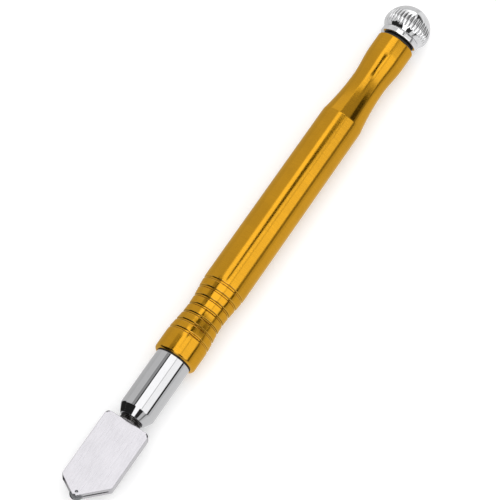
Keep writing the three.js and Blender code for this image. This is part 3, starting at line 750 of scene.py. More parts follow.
def seat(piece, node, scene):
    """Gives a finished piece its material and its place in the assembly."""
    link(piece, scene)
    piece.data.materials.clear()
    piece.data.materials.append(finish_for(SLOT_OF[node], scene))
    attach(piece, BODY_OF[node])
    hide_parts(node)
    return piece


# ---------------------------------------------------------------- geometry node trees

class Shaper(Graph):
    """A geometry node tree with named inputs, ending in Realize Instances and Set Material."""

    def __init__(self, name, inputs):
        super().__init__(bpy.data.node_groups.new(name, "GeometryNodeTree"))
        interface = self.tree.interface
        interface.new_socket("Geometry", in_out="INPUT", socket_type="NodeSocketGeometry")
        for label, kind in inputs.items():
            interface.new_socket(label, in_out="INPUT", socket_type=f"NodeSocket{kind}")
        interface.new_socket("Material", in_out="INPUT", socket_type="NodeSocketMaterial")
        interface.new_socket("Geometry", in_out="OUTPUT", socket_type="NodeSocketGeometry")
        self.given = self.add("NodeGroupInput")

    def input(self, label):
        """A named input of the tree."""
        return self.given.part(label)

    def finish(self, geometry):
        """Closes the tree on this geometry."""
        real = self.add("GeometryNodeRealizeInstances", None, {0: geometry})
        feeds = {"Geometry": real, "Material": self.input("Material")}
        painted = self.add("GeometryNodeSetMaterial", None, feeds)
        self.add("NodeGroupOutput", None, {0: painted})
        return self.tree


def apply_tree(piece, tree, values, scene, slot):
    """Runs a geometry node tree on a piece and keeps its result as a plain mesh."""
    link(piece, scene)
    modifier = piece.modifiers.new(tree.name, "NODES")
    modifier.node_group = tree
    given = dict(values, Material=finish_for(slot, scene))
    for item in tree.interface.items_tree:
        if item.in_out == "INPUT" and item.name in given:
            modifier[item.identifier] = given[item.name]
    return shaded(evaluated_mesh(piece))


def turned_place(shaper):
    """Where a point is along the handle, across it and above its axis, and how far from that axis."""
    x, y, z = shaper.xyz(shaper.add("GeometryNodeInputPosition"))
    up = z - AXIS_HEIGHT
    return x, y, up, (y * y + up * up) ** 0.5


def radial_push(shaper, drop):
    """Moves the points of a turned piece towards the handle's axis by drop."""
    x, y, up, radius = turned_place(shaper)
    scale = (radius - drop).math("DIVIDE", radius)
    moved = shaper.join(x, y * scale, up * scale + AXIS_HEIGHT)
    feeds = {"Geometry": shaper.input("Geometry"), "Position": moved}
    return shaper.add("GeometryNodeSetPosition", None, feeds)


def groove_tree():
    """Turned grooves at an even pitch on the outside of a barrel."""
    shaper = Shaper("grip grooves", {
        "First": "Float", "Count": "Int", "Pitch": "Float", "Width": "Float",
        "Floor": "Float", "Depth": "Float", "Outside": "Float"})
    x, _, _, radius = turned_place(shaper)
    first, pitch = shaper.input("First"), shaper.input("Pitch")
    last = shaper.input("Count") - 1.0
    number = ((x - first) / pitch).math("ROUND").math("MAXIMUM", 0.0).math("MINIMUM", last)
    away = abs(x - (first + number * pitch))
    half, floor = shaper.input("Width") * 0.5, shaper.input("Floor") * 0.5
    drop = away.ramp(floor, half, shaper.input("Depth"), 0.0)
    skin = radius.math("GREATER_THAN", shaper.input("Outside"))
    return shaper.finish(radial_push(shaper, drop * skin))


def thread_tree():
    """A right-handed V thread cut into the outside or the inside of a turned piece."""
    shaper = Shaper("screw thread", {
        "Start": "Float", "End": "Float", "Pitch": "Float", "Depth": "Float",
        "Inner": "Float", "Outer": "Float", "Inward": "Float"})
    x, y, up, radius = turned_place(shaper)
    start, end, pitch = shaper.input("Start"), shaper.input("End"), shaper.input("Pitch")
    turn = y.math("ARCTAN2", up) / (2 * math.pi)
    phase = ((x - start) / pitch + turn).math("FRACT")
    wave = abs(phase * 2.0 - 1.0)
    profile = wave.ramp(0.08, 0.92, smooth=False)
    lead_in = x.ramp(start, start + pitch * 0.8)
    lead_out = x.ramp(end - pitch * 0.8, end, 1.0, 0.0)
    above = radius.math("GREATER_THAN", shaper.input("Inner"))
    below = radius.math("LESS_THAN", shaper.input("Outer"))
    drop = profile * shaper.input("Depth") * lead_in * lead_out * (above * below) * shaper.input("Inward")
    return shaper.finish(radial_push(shaper, drop))


def flute_tree():
    """Scalloped flutes round a turned knob, fading out at both ends."""
    shaper = Shaper("knob flutes", {
        "Count": "Int", "Depth": "Float", "Middle": "Float", "Reach": "Float", "Outside": "Float"})
    x, y, up, radius = turned_place(shaper)
    turn = y.math("ARCTAN2", up * -1.0)
    rib = abs((turn * shaper.input("Count") * 0.5).math("SINE")) ** 0.75
    away = abs(x - shaper.input("Middle")) / shaper.input("Reach")
    fade = away.ramp(0.35, 1.0, 1.0, 0.0)
    skin = radius.math("GREATER_THAN", shaper.input("Outside"))
    return shaper.finish(radial_push(shaper, (1.0 - rib) * shaper.input("Depth") * fade * skin))


def even_line(shaper):
    """A line of evenly spaced points, which are then moved to where a strand runs."""
    line = shaper.add("GeometryNodeCurvePrimitiveLine")
    return shaper.add("GeometryNodeResampleCurve", None, {"Curve": line, "Count": shaper.input("Steps")})


def round_strand(shaper, path, radius, sides):
    """A round wire or strand along a path, with closed ends."""
    ring = shaper.add("GeometryNodeCurvePrimitiveCircle", None, {"Resolution": sides, "Radius": radius})
    feeds = {"Curve": path, "Profile Curve": ring, "Fill Caps": True}
    return shaper.add("GeometryNodeCurveToMesh", None, feeds)


def coil_tree():
    """A wire wound round the handle's axis, with closed turns at both ends."""
    shaper = Shaper("wound wire", {
        "Start": "Float", "Length": "Float", "Radius": "Float", "Wire": "Float",
        "Turns": "Float", "Closed": "Float", "Steps": "Int"})
    turns, closed, wire = shaper.input("Turns"), shaper.input("Closed"), shaper.input("Wire")
    points = even_line(shaper)
    index = shaper.add("GeometryNodeInputIndex")
    turn = index / (shaper.input("Steps") - 1.0) * (turns + closed * 2.0)
    low = turn.math("MINIMUM", closed)
    high = (turn - closed - turns).math("MAXIMUM", 0.0)
    active = (turn - closed).math("MAXIMUM", 0.0).math("MINIMUM", turns)
    tight = wire * 1.06  # the pitch of the closed turns, which just clear each other
    pitch = (shaper.input("Length") - wire - tight * closed * 2.0) / turns
    x = shaper.input("Start") + wire * 0.5 + (low + high) * tight + active * pitch
    swing = turn * (2 * math.pi)
    radius = shaper.input("Radius")
    y = swing.math("COSINE") * radius
    z = swing.math("SINE") * radius + AXIS_HEIGHT
    feeds = {"Geometry": points, "Position": shaper.join(x, y, z)}
    wound = shaper.add("GeometryNodeSetPosition", None, feeds)
    return shaper.finish(round_strand(shaper, wound, wire * 0.5, 12))


def yarn_tree():
    """Soft strands twisted together along the handle's axis."""
    shaper = Shaper("twisted yarn", {
        "Start": "Float", "Length": "Float", "Radius": "Float", "Twists": "Float",
        "Strands": "Int", "Steps": "Int"})
    feeds = {"Geometry": even_line(shaper), "Amount": shaper.input("Strands")}
    copies = shaper.add("GeometryNodeDuplicateElements", {"domain": "SPLINE"}, feeds)
    strand = copies.part("Duplicate Index")
    share = shaper.add("GeometryNodeSplineParameter")
    swing = (share * shaper.input("Twists") + strand / shaper.input("Strands")) * (2 * math.pi)
    lay = shaper.input("Radius") * 0.52
    feeds = {"Geometry": copies, "Position": shaper.join(
        shaper.input("Start") + share * shaper.input("Length"),
        swing.math("COSINE") * lay,
        swing.math("SINE") * lay + AXIS_HEIGHT)}
    laid = shaper.add("GeometryNodeSetPosition", None, feeds)
    return shaper.finish(round_strand(shaper, laid, shaper.input("Radius") * 0.47, 10))


def screw(piece, node, scene, start, end, pitch, depth, inner, outer, inward=1.0):
    """Cuts a thread between two places and two radii of a turned piece, or in its bore if inward is -1."""
    values = {
        "Start": start, "End": end, "Pitch": pitch, "Depth": depth,
        "Inner": inner, "Outer": outer, "Inward": inward}
    return apply_tree(piece, thread_tree(), values, scene, SLOT_OF[node])


# ---------------------------------------------------------------- the barrel

def barrel_outside(sizes, start, end):
    """The barrel's outside, from the mouth's rim to its top."""
    grip = start + sizes.flare
    main = grip + sizes.grip
    shoulder = main + sizes.main
    neck = shoulder + sizes.fall
    top = neck + sizes.rise
    shoulder_radius = sizes.radius - sizes.taper
    neck_radius = shoulder_radius - sizes.neck_depth
    rim, steps = 1.0 * MM, 8
    points = []
    for i in range(steps):
        swing = i / steps * math.pi / 2
        drop = sizes.mouth_round * (1 - math.sin(swing))
        points.append((start + rim * (1 - math.cos(swing)), sizes.radius - drop))
    points += stretch(start + rim, grip, lambda t: sizes.radius, 3)
    waist = sizes.grip_depth / 2
    points += stretch(grip, main, lambda t: sizes.radius - waist * (1 - math.cos(2 * math.pi * t)), 230)
    points += stretch(main, shoulder, lambda t: sizes.radius - sizes.taper * t, 12)
    points += [(shoulder, shoulder_radius, 3 * MM)]
    fall = stretch(shoulder, neck, lambda t: neck_radius + sizes.neck_depth * (1 - t) ** 2, 22)
    points += fall[1:]
    points += stretch(neck, top, lambda t: neck_radius + sizes.top_rise * (1 - math.cos(math.pi * t)) / 2, 16)
    top_radius = neck_radius + sizes.top_rise
    points += [(top, top_radius), (end, top_radius, 0.22 * MM)]
    return points


class CUTTER_OT_barrel(bpy.types.Operator):
    """Turns the gold barrel with its grooved grip, its waisted neck and its bores"""

    bl_idname = "cutter.make_barrel"
    bl_label = "Barrel"

    def execute(self, context):
        scene = context.scene
        sizes, cap = scene.cutter_barrel, scene.cutter_cap
        start, end = reach("handle_barrel")
        recess = scene.cutter_collar.radius + 0.075 * MM
        recess_end = start + 0.6 * MM
        spigot = scene.cutter_collar.spigot + 0.04 * MM
        spigot_end = reach("valve_seat")[1] + GAP
        neck = sizes.radius - sizes.taper - sizes.neck_depth
        reservoir = neck - sizes.neck_wall
        mouth = reservoir - cap.thread_step
        thread = reach("cap_plug")[0] - 0.1 * MM
        inside = [(end, mouth, 0.15 * MM)]
        inside += stretch(end - 0.3 * MM, thread, lambda t: mouth, 70)
        inside += [(thread, mouth), (thread - cap.thread_step, reservoir)]
        inside += [(spigot_end + 0.6 * MM, reservoir), (spigot_end, spigot), (recess_end, spigot)]
        inside += [(recess_end, recess), (start, recess, 0.06 * MM)]
        profile = fillet(barrel_outside(sizes, start, end) + inside)
        barrel = revolve("gold_barrel", profile, segments=128)
        middle_of_grip = start + sizes.flare + sizes.grip / 2
        values = {
            "First": middle_of_grip - sizes.groove_pitch * (sizes.grooves - 1) / 2,
            "Count": sizes.grooves, "Pitch": sizes.groove_pitch, "Width": sizes.groove_width,
            "Floor": sizes.groove_floor, "Depth": sizes.groove_depth, "Outside": OUTER_SKIN}
        apply_tree(barrel, groove_tree(), values, scene, SLOT_OF["handle_barrel"])
        screw(barrel, "handle_barrel", scene, thread, end, cap.pitch, cap.thread_depth * 0.8,
              mouth - 0.5 * MM, mouth + SKIN, inward=-1.0)
        seat(barrel, "handle_barrel", scene)
        return {"FINISHED"}


# ---------------------------------------------------------------- the collar and the holder

class CUTTER_OT_collar(bpy.types.Operator):
    """Turns the chromed collar with its cone and threaded spigot, and the key pin in its wall"""

    bl_idname = "cutter.make_collar"
    bl_label = "Collar"

    def execute(self, context):
        scene = context.scene
        sizes, head = scene.cutter_collar, scene.cutter_head
        start, end = reach("nose_collar")
        shoulder = start + sizes.cone
        face = reach("collar_o_ring")[0] - 0.025 * MM
        thread = face + 1.5 * MM
        profile = [
            (start, sizes.mouth, 0.1 * MM), (start, sizes.lip_radius, 0.18 * MM),
            (shoulder, sizes.radius, 0.9 * MM), (face, sizes.radius, 0.12 * MM),
            (face, sizes.spigot), (thread, sizes.spigot)]
        profile += stretch(thread, end, lambda t: sizes.spigot, 110)[1:]
        profile += [(end, sizes.spigot, 0.1 * MM), (end, sizes.bore, 0.1 * MM), (shoulder, sizes.bore)]
        profile += [(shoulder, sizes.mouth)]
        collar = revolve("chrome_collar", fillet(profile), segments=128)
        screw(collar, "nose_collar", scene, thread, end, head.pitch, 0.2 * MM,
              sizes.spigot - SKIN, sizes.spigot + SKIN)
        pin = middle("key_pin")
        hole = rod("key hole", -6 * MM, 2 * MM, 0.47 * MM, axis="Z", centre=pin)
        cut(collar, [hole], scene)
        seat(collar, "nose_collar", scene)
        seat(upright_pin("steel_key", "key_pin", 0.08 * MM, 32, pin), "key_pin", scene)
        return {"FINISHED"}


class CUTTER_OT_holder(bpy.types.Operator):
    """Turns the brass holder with its threaded bore, seal groove, nose, oil ports and keyway"""

    bl_idname = "cutter.make_holder"
    bl_label = "Head holder"

    def execute(self, context):
        scene = context.scene
        head = scene.cutter_head
        start, end = reach("head_holder")
        radius = scene.cutter_collar.bore - 0.08 * MM
        body_end = reach("valve_spring")[0] - GAP
        thread_end = reach("head_shank")[1] + GAP
        bore = head.neck_radius + 0.08 * MM
        groove, groove_end = reach("holder_o_ring")
        floor = radius - 0.75 * MM
        wick = reach("oil_wick")[1] + 1.6 * MM
        nose, stem_hole, wick_hole = 2.05 * MM, 0.6 * MM, 0.9 * MM
        profile = [
            (start, bore, 0.1 * MM), (start, radius, 0.15 * MM),
            (groove - GAP, radius, 0.05 * MM), (groove - GAP, floor),
            (groove_end + GAP, floor), (groove_end + GAP, radius, 0.05 * MM),
            (body_end, radius, 0.15 * MM), (body_end, nose), (end, nose, 0.15 * MM),
            (end, stem_hole), (wick, stem_hole), (wick, wick_hole), (thread_end, wick_hole),
            (thread_end, bore - 0.05 * MM)]
        profile += stretch(thread_end, start, lambda t: bore, 80)[1:]
        holder = revolve("brass_holder", fillet(profile), segments=96)
        screw(holder, "head_holder", scene, start, thread_end, head.pitch, head.thread_depth * 0.7,
              bore - 0.06 * MM, bore + 0.02 * MM, inward=-1.0)
        pin = middle("key_pin")
        half_slot, slot_top = 0.55 * MM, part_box("key_pin")[1][2] + 0.1 * MM
        keyway = box_cutter(
            "keyway", (pin.x - 1.2 * MM, -half_slot, AXIS_HEIGHT - radius - MM),
            (pin.x + 0.6 * MM, half_slot, slot_top))
        port = rod(
            "oil port", -3 * MM, 3 * MM, 0.42 * MM, axis="Z",
            centre=Vector((wick - 0.9 * MM, 0.0, AXIS_HEIGHT)))
        cut(holder, [keyway, port], scene)
        seat(holder, "head_holder", scene)
        return {"FINISHED"}


# ---------------------------------------------------------------- the valve

# Inner radius, outer radius and rounding of the valve's flat rings, in millimetres.
WASHERS = {
    "valve_seal": (0.59, 2.0, 0.12),
    "seat_gasket": (3.9, 4.56, 0.06),
    "spring_washer": (1.1, 3.86, 0.1),
}
O_RING_BORES = {"collar_o_ring": 4.64, "holder_o_ring": 3.09, "cap_o_ring": 3.5}  # radii in millimetres


class CUTTER_OT_valve(bpy.types.Operator):
    """Makes the oil valve: its stem and seal, the seat and its gasket, the washer and the spring"""

    bl_idname = "cutter.make_valve"
    bl_label = "Oil valve"

    def execute(self, context):
        scene = context.scene
        body_radius = scene.cutter_collar.bore - 0.04 * MM
        spigot = scene.cutter_collar.spigot
        foot, tip = reach("valve_stem")
        head = tip - 1.0 * MM
        stem, stem_head = 0.55 * MM, 2.1 * MM
        seat_start, seat_end = reach("valve_seat")
        flange = seat_end - 1.0 * MM
        flange_radius, port = spigot - 0.04 * MM, 1.1 * MM
        rings = {
            "valve_stem": [
                (foot, 0.0), (foot, stem, 0.1 * MM), (head, stem), (head, stem_head, 0.1 * MM),
                (tip, stem_head, 0.3 * MM), (tip, 0.0)],
            "valve_seat": [
                (seat_start, port, 0.15 * MM), (seat_start, body_radius, 0.15 * MM),
                (flange, body_radius), (flange, flange_radius, 0.08 * MM),
                (seat_end, flange_radius, 0.12 * MM), (seat_end, port, 0.2 * MM)],
        }
        for node, (inner, outer, rounding) in WASHERS.items():
            low, high = reach(node)
            corners = [(low, inner), (low, outer), (high, outer), (high, inner)]
            rings[node] = [(place, radius * MM, rounding * MM) for place, radius in corners]
        for node, profile in rings.items():
            seat(revolve(node + "_turned", fillet(profile), segments=64), node, scene)
        low, high = reach("valve_spring")
        spring = bpy.data.objects.new("wound_spring", bpy.data.meshes.new("wound_spring"))
        values = {
            "Start": low, "Length": high - low, "Radius": 3.1 * MM, "Wire": 0.6 * MM,
            "Turns": 4.0, "Closed": 1.0, "Steps": 260}
        apply_tree(spring, coil_tree(), values, scene, SLOT_OF["valve_spring"])
        seat(spring, "valve_spring", scene)
        joints = frame["record"]["behaviour"]["joints"]
        travel = next(joint["range_m"][1] for joint in joints if joint["name"] == "head_press")
        1 - travel / (high - low)
        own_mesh(spring)
        return {"FINISHED"}


class CUTTER_OT_seals(bpy.types.Operator):
    """Moulds the three rubber rings"""

    bl_idname = "cutter.make_seals"
    bl_label = "O-rings"

    def execute(self, context):
        scene = context.scene
        steps = 20
        for node, bore in O_RING_BORES.items():
            low, high = reach(node)
            outer = (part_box(node)[1][2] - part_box(node)[0][2]) / 2
            inner = bore * MM
            half, thick = (high - low) / 2, (outer - inner) / 2
            profile = []
            for i in range(steps):
                swing = 2 * math.pi * i / steps
                place = (low + high) / 2 + half * math.cos(swing)
                profile.append((place, inner + thick * (1 + math.sin(swing))))
            ring = revolve(node.replace("_o_ring", "_rubber_ring"), profile, segments=96)
            seat(ring, node, scene)
        return {"FINISHED"}


# ---------------------------------------------------------------- the cutting head

def rounded_outline(corners, steps=8):
    """The points of an outline whose corners are rounded by the radius given with each."""
    points = []
    for i, (x, y, radius) in enumerate(corners):
        corner = Vector((x, y))
        before = Vector(corners[i - 1][:2]) - corner
        after = Vector(corners[(i + 1) % len(corners)][:2]) - corner
        tangent = radius / math.tan(before.angle(after) / 2)
        start, end = corner + before.normalized() * tangent, corner + after.normalized() * tangent
        points += [start * (1 - t) ** 2 + corner * 2 * t * (1 - t) + end * t ** 2
                   for t in (k / steps for k in range(steps + 1))]
    return points


class CUTTER_OT_head(bpy.types.Operator):
    """Makes the broad cutting head with its slot, the threaded neck and the wheel's axle"""

    bl_idname = "cutter.make_head"
    bl_label = "Cutting head"

    def execute(self, context):
        scene = context.scene
        sizes = scene.cutter_head
        low, high = (Vector(corner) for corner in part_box("head_plate"))
        wheel = middle("cutting_wheel")
        half, thick = (high.y - low.y) / 2, (high.z - low.z) / 2
        top = high.x
        point = wheel.x - sizes.tip_cover - sizes.v_sharpness
        outline = rounded_outline([
            (point, wheel.y, 1.3 * MM), (point + sizes.steep_rise, -half, 0.9 * MM),
            (top, -half, 1.4 * MM), (top, half, 1.4 * MM),
            (point + sizes.shallow_rise, half, 0.9 * MM)])
        shell = bmesh.new()
        under = [shell.verts.new((place.x, place.y, AXIS_HEIGHT - thick)) for place in outline]
        over = [shell.verts.new((place.x, place.y, AXIS_HEIGHT + thick)) for place in outline]
        shell.faces.new(under)
        shell.faces.new(reversed(over))
        for i, vert in enumerate(under):
            j = (i + 1) % len(under)
            shell.faces.new((vert, under[j], over[j], over[i]))
        rims = [edge for edge in shell.edges if abs(edge.verts[0].co.z - edge.verts[1].co.z) < 1e-9]
        bmesh.ops.bevel(shell, geom=rims, offset=sizes.edge, segments=4, profile=0.5, affect="EDGES")
        for face in sorted(shell.faces, key=lambda face: -face.calc_area())[:2]:
            bmesh.ops.inset_region(shell, faces=[face], thickness=0.08 * MM)
        plate = finished("plated_head", shell)
        slot_end = wheel.x - sizes.tip_cover + sizes.slot_depth
        stud = reach("head_shank")[0] - GAP
        cutters = [
            box_cutter("wheel slot", (point - MM, -2 * half, AXIS_HEIGHT - sizes.slot_width / 2),
                       (slot_end, 2 * half, AXIS_HEIGHT + sizes.slot_width / 2)),
            rod("axle hole", -3 * MM, 3 * MM, 0.48 * MM, segments=48, axis="Z", centre=wheel),
            rod("oil passage", slot_end - MM, stud + MM, sizes.passage),
            rod("stud socket", stud, top + MM, 1.49 * MM, segments=40)]
        cut(plate, cutters, scene, block=True)
        seat(plate, "head_plate", scene)

        start, end = reach("head_shank")
        neck = top + GAP
        crest, bore = sizes.neck_radius, sizes.passage
        stud_radius = 1.45 * MM
        profile = [
            (start, bore), (start, stud_radius, 0.1 * MM), (neck, stud_radius), (neck, crest - 0.01 * MM)]
        profile += stretch(neck, end, lambda t: crest, 150)[1:]
        profile += [(end, crest, 0.1 * MM), (end, bore)]
        shank = revolve("threaded_neck", fillet(profile), segments=96)
        screw(shank, "head_shank", scene, neck, end, sizes.pitch, sizes.thread_depth,
              crest - SKIN, crest + SKIN)
        seat(shank, "head_shank", scene)

        pin = upright_pin("axle_pin", "wheel_axle", 0.14 * MM, 40, wheel, sizes.axle_sunk)
        seat(pin, "wheel_axle", scene)
        return {"FINISHED"}


class CUTTER_OT_wheel(bpy.types.Operator):
    """Grinds the carbide wheel"""

    bl_idname = "cutter.make_wheel"
    bl_label = "Cutting wheel"

    def execute(self, context):
        low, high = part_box("cutting_wheel")
        radius, half = (high[0] - low[0]) / 2, (high[2] - low[2]) / 2
        land, bore, half_edge = radius - 0.28 * MM, 0.53 * MM, 0.01 * MM
        profile = [
            (-half, bore, 0.05 * MM), (-half, land, 0.03 * MM), (-half_edge, radius), (half_edge, radius),
            (half, land, 0.03 * MM), (half, bore, 0.05 * MM)]
        centre = middle("cutting_wheel")
        wheel = revolve("carbide_wheel", fillet(profile), segments=160, axis="Z", centre=centre)
        seat(wheel, "cutting_wheel", context.scene)
        return {"FINISHED"}


class CUTTER_OT_wick(bpy.types.Operator):
    """Twists the cotton wick that feeds the wheel"""

    bl_idname = "cutter.make_wick"
    bl_label = "Wick"

    def execute(self, context):
        scene = context.scene
        low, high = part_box("oil_wick")
        wick = bpy.data.objects.new("cotton_yarn", bpy.data.meshes.new("cotton_yarn"))
        values = {
            "Start": low[0], "Length": high[0] - low[0], "Radius": (high[2] - low[2]) / 2,
            "Twists": 9.0, "Strands": 3, "Steps": 220}
        apply_tree(wick, yarn_tree(), values, scene, SLOT_OF["oil_wick"])
        seat(wick, "oil_wick", scene)
        return {"FINISHED"}


# ---------------------------------------------------------------- the filler cap

class CUTTER_OT_cap(bpy.types.Operator):
    """Turns the screwed plug with its flange, and the fluted knob on it"""

    bl_idname = "cutter.make_cap"
    bl_label = "Filler cap"

    def execute(self, context):
        scene = context.scene
        sizes = scene.cutter_cap
        start, end = reach("cap_plug")
        knob, top = reach("cap_knob")
        flange = reach("cap_o_ring")[1] + 0.025 * MM
        mouth_end = reach("handle_barrel")[1]
        barrel = scene.cutter_barrel
        neck = barrel.radius - barrel.taper - barrel.neck_depth
        crest = neck - barrel.neck_wall - sizes.thread_step - 0.08 * MM
        root = crest - sizes.thread_depth
        rim = neck + barrel.top_rise + 0.17 * MM
        boss, chamfer = 2.4 * MM, 0.2 * MM
        thread_end = mouth_end - 0.4 * MM
        profile = [(start, 0.0), (start, root - chamfer), (start + chamfer, crest)]
        profile += stretch(start + chamfer, thread_end, lambda t: crest, 90)[1:]
        profile += [
            (thread_end, crest), (thread_end, root), (flange, root),
            (flange, rim, 0.25 * MM), (knob - GAP, rim, 0.4 * MM), (knob - GAP, boss),
            (end, boss, 0.1 * MM), (end, 0.0)]
        plug = revolve("turned_plug", fillet(profile), segments=96)
        screw(plug, "cap_plug", scene, start, thread_end, sizes.pitch, sizes.thread_depth,
              crest - SKIN, crest + SKIN)
        seat(plug, "cap_plug", scene)

        centre = top - sizes.dome
        socket, socket_end = boss + 0.04 * MM, end + 0.1 * MM
        outline = [(socket_end, 0.0), (socket_end, socket), (knob, socket), (knob, sizes.waist, 0.15 * MM)]
        swell = sizes.radius - sizes.waist
        outline += stretch(knob, centre, lambda t: sizes.waist + swell * math.sin(math.pi * t / 2), 20)[1:]
        steps = 44
        for i in range(steps + 1):
            swing = i / steps * math.pi / 2
            radius = sizes.radius * math.cos(swing) if i < steps else 0.0
            outline.append((centre + sizes.dome * math.sin(swing), radius))
        dome = revolve("fluted_knob", fillet(outline), segments=sizes.flutes * 8)
        values = {
            "Count": sizes.flutes, "Depth": sizes.flute_depth, "Middle": centre + sizes.flute_middle,
            "Reach": sizes.flute_reach, "Outside": OUTER_SKIN}
        apply_tree(dome, flute_tree(), values, scene, SLOT_OF["cap_knob"])
        seat(dome, "cap_knob", scene)
        return {"FINISHED"}


# ---------------------------------------------------------------- the stage

# Each soft box or card covers two spans of angles in degrees: round the handle, from straight up towards the
# steep side of the head, and leaning towards the cap. Then come its brightness and, for a card, its distance in
# metres. Only the gloss of the metal sees the cards. Far ones show in every piece, near ones only in the collar.
SOFT_BOXES = {
    "overhead box": ((-30, 20), (-60, 60), 1.5),
    "side box": ((24, 63), (-35, 28), 1.35),
}
FAR, NEAR = 1.55, 0.3
REFLECTED_CARDS = {
    "low flag": ((65.5, 77), (-80, 80), 0.25, FAR),
    "collar flag": ((-46, -24), (-30, 10.4), 0.36, NEAR),
    "collar line": ((-29, -22.5), (-30, 10.4), 0.0, NEAR * 0.99),
    "collar low flag": ((65, 73), (-30, 10.4), 0.01, NEAR),
    "cone card": ((-92, -19), (-66, -24), 0.02, FAR),
    "cone card low": ((12, 43), (-66, -28), 0.03, FAR),
    "neck card": ((36, 68), (28, 50), 0.04, FAR),
    "neck shade": ((-28, 36), (28, 50), 0.42, FAR),
    "waist line": ((7, 17), (20.6, 28), 0.3, FAR * 0.99),
    "waist shade": ((6, 62), (22.8, 28), 0.5, FAR),
    "dome card": ((28, 85), (46, 84), 0.05, FAR),
    "dome box": ((-75, 5), (61, 86), 1.5, FAR),
    "neck box": ((-110, -29), (30, 86), 0.92, FAR * 1.01),
}
CARD_STEPS = 12  # faces along each side of a curved card
GROUND_GLOW = {"wheel side ground": (1, 0.63), "steep side ground": (-1, 0.82)}  # side, brightness
WEDGE = ((58, 4), (152, -52), (152, 60), (58, 24))  # its corners in millimetres along and across the handle
WEDGE_HEIGHT, WEDGE_GLOW = 300 * MM, 0.02
ROOM_GLOW, FLOOR_GLOW = 0.69, 0.22


def light_direction(round_deg, along_deg):
    """The way to a place in the sky, from two angles."""
    turn, lean = math.radians(round_deg), math.radians(along_deg)
    return Vector((math.sin(lean), -math.cos(lean) * math.sin(turn), math.cos(lean) * math.cos(turn)))


def glow_material(name, brightness):
    """An even white glow."""
    made = bpy.data.materials.new(name)
    made.use_nodes = True
    made.node_tree.nodes.clear()
    graph = Graph(made.node_tree)
    glow = graph.add("ShaderNodeEmission", None, {"Color": WHITE, "Strength": brightness})
    graph.add("ShaderNodeOutputMaterial", None, {0: glow})
    return made


def hang(name, shell, brightness, scene, only_gloss=True):
    """Hangs a glowing card that the camera doesn't see, and that lights nothing if only the gloss sees it."""
    mesh = bpy.data.meshes.new(name)
    shell.to_mesh(mesh)
    shell.free()
    mesh.materials.append(glow_material(name, brightness))
    card = bpy.data.objects.new(name, mesh)
    scene.collection.objects.link(card)
    card.visible_camera = False
    card.visible_shadow = False
    card.visible_diffuse = not only_gloss
    card.visible_transmission = not only_gloss


def sky_patch(around, along):
    """A curved card over a span of angles, one unit away."""
    shell = bmesh.new()
    (low, high), (near, far) = around, along
    shares = [k / CARD_STEPS for k in range(CARD_STEPS + 1)]
    grid = [
        [shell.verts.new(light_direction(low + (high - low) * i, near + (far - near) * j)) for j in shares]
        for i in shares]
    for row, after in zip(grid, grid[1:]):
        for j in range(CARD_STEPS):
            shell.faces.new((row[j], after[j], after[j + 1], row[j + 1]))
    return shell


def flat_card(corners):
    """A flat card through the corners."""
    shell = bmesh.new()
    shell.faces.new([shell.verts.new(corner) for corner in corners])
    return shell


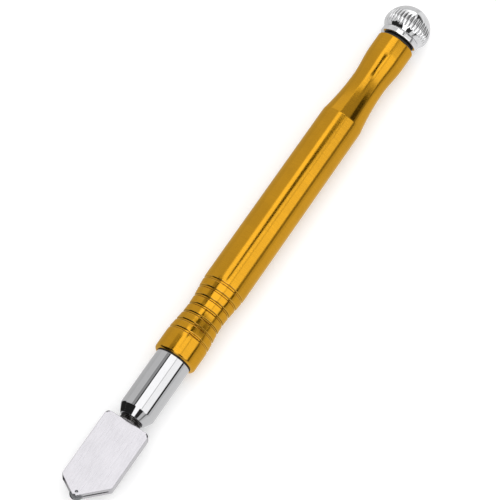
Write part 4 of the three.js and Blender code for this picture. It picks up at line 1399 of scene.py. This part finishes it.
class CUTTER_OT_stage(bpy.types.Operator):
    """Lays the floor and sets the lights and the camera"""

    bl_idname = "cutter.make_stage"
    bl_label = "Stage"

    def execute(self, context):
        scene = context.scene
        sizes = scene.cutter_stage
        self.lay_floor(scene)
        for name, (around, along, brightness) in SOFT_BOXES.items():
            shell = sky_patch(around, along)
            shell.transform(Matrix.Scale(sizes.light_distance, 4))
            hang(name, shell, brightness, scene, only_gloss=False)
        for name, (around, along, brightness, distance) in REFLECTED_CARDS.items():
            shell = sky_patch(around, along)
            shell.transform(Matrix.Scale(distance, 4))
            hang(name, shell, brightness, scene)
        self.lay_ground_glow(scene)
        self.hang_wedge(scene)
        self.light_room(scene)
        self.set_camera(scene, sizes)
        scene.view_settings.view_transform = "Standard"
        return {"FINISHED"}

    def lay_floor(self, scene):
        """A pale floor just under the tool."""
        shell = bmesh.new()
        bmesh.ops.create_grid(shell, x_segments=1, y_segments=1, size=3.0)
        mesh = bpy.data.meshes.new("floor")
        shell.to_mesh(mesh)
        shell.free()
        floor = bpy.data.objects.new("floor", mesh)
        scene.collection.objects.link(floor)
        finish = Finish("floor paint")
        tone = tuple(scene.cutter_finish.floor)
        mottle = finish.noise(0.01)
        mesh.materials.append(finish.set(
            Base_Color=finish.mix(mottle, tone, shade(tone, 0.99)), Roughness=0.9, Specular_IOR_Level=0.1,
            Emission_Color=WHITE, Emission_Strength=FLOOR_GLOW))
        floor.visible_glossy = False

    def lay_ground_glow(self, scene):
        """What the polished metal sees in place of the floor, which would be too bright in it."""
        half, depth = 3.0, -2 * MM
        for name, (side, brightness) in GROUND_GLOW.items():
            out = side * half
            corners = [(-half, 0.0, depth), (half, 0.0, depth), (half, out, depth), (-half, out, depth)]
            hang(name, flat_card(corners), brightness, scene)
        near, far, top = 8 * MM, 900 * MM, -MM
        cone = reach("nose_collar")[0]
        low, high, dark = cone - far, cone + 2 * MM, 0.02
        corners = [(low, near, top), (high, near, top), (high, far, top), (low, far, top)]
        hang("ground by the cone", flat_card(corners), dark, scene)

    def hang_wedge(self, scene):
        """A dark wedge close above the barrel, thin over the grip and wide over the shoulder."""
        corners = [(along * MM, across * MM, WEDGE_HEIGHT) for along, across in WEDGE]
        hang("wedge", flat_card(corners), WEDGE_GLOW, scene)

    def light_room(self, scene):
        """An even pale grey room round the soft boxes."""
        world = bpy.data.worlds.new("room")
        scene.world = world
        world.use_nodes = True
        graph = Graph(world.node_tree)
        world.node_tree.nodes.clear()
        room = graph.add("ShaderNodeBackground", None, {"Color": WHITE, "Strength": ROOM_GLOW})
        graph.add("ShaderNodeOutputWorld", None, {0: room})

    def set_camera(self, scene, sizes):
        """Looks at the middle of the tool from the wheel's end, above and a little to one side."""
        along, across = sizes.lean_along, sizes.lean_across
        back = Vector((
            -math.sin(along), -math.cos(along) * math.sin(across), math.cos(along) * math.cos(across)))
        handle = Vector((1.0, 0.0, 0.0))
        level = (handle - back * handle.dot(back)).normalized()
        square = back.cross(level)
        right = level * math.cos(sizes.roll) - square * math.sin(sizes.roll)
        up = level * math.sin(sizes.roll) + square * math.cos(sizes.roll)
        target = Vector((0.0, 0.0, AXIS_HEIGHT)) + right * sizes.shift_right + up * sizes.shift_up
        lens = bpy.data.cameras.new("camera")
        lens.sensor_width = 36.0
        lens.lens = lens.sensor_width * sizes.distance / sizes.width
        lens.clip_end = 20.0
        camera = bpy.data.objects.new("camera", lens)
        turn = Matrix((right, up, back)).transposed().to_4x4()
        camera.matrix_world = Matrix.Translation(target + back * sizes.distance) @ turn
        scene.collection.objects.link(camera)
        scene.camera = camera


MAKERS = (
    CUTTER_OT_barrel, CUTTER_OT_collar, CUTTER_OT_holder, CUTTER_OT_valve, CUTTER_OT_seals, CUTTER_OT_head,
    CUTTER_OT_wheel, CUTTER_OT_wick, CUTTER_OT_cap, CUTTER_OT_stage)


class CUTTER_PT_panel(bpy.types.Panel):
    """Lists what can be made, and the sizes"""

    bl_label = "Glass cutter"
    bl_idname = "CUTTER_PT_panel"
    bl_space_type = "VIEW_3D"
    bl_region_type = "UI"
    bl_category = "Glass cutter"

    def draw(self, context):
        for maker in MAKERS:
            self.layout.operator(maker.bl_idname, text=maker.bl_label)
        for name, kind in GROUPS.items():
            box = self.layout.box()
            for label in kind.__annotations__:
                box.prop(getattr(context.scene, name), label)


CLASSES = (*GROUPS.values(), *MAKERS, CUTTER_PT_panel)


def register():
    """Makes the properties, the operators and the panel known."""
    for kind in CLASSES:
        bpy.utils.register_class(kind)
    for name, kind in GROUPS.items():
        setattr(bpy.types.Scene, name, bpy.props.PointerProperty(type=kind))


def unregister():
    """Takes back what register did."""
    for name in GROUPS:
        delattr(bpy.types.Scene, name)
    for kind in reversed(CLASSES):
        bpy.utils.unregister_class(kind)


def main():
    """Makes every piece and the stage."""
    register()
    for maker in MAKERS:
        getattr(bpy.ops.cutter, maker.bl_idname.split(".")[1])()
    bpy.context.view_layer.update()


if __name__ == "__main__":
    main()
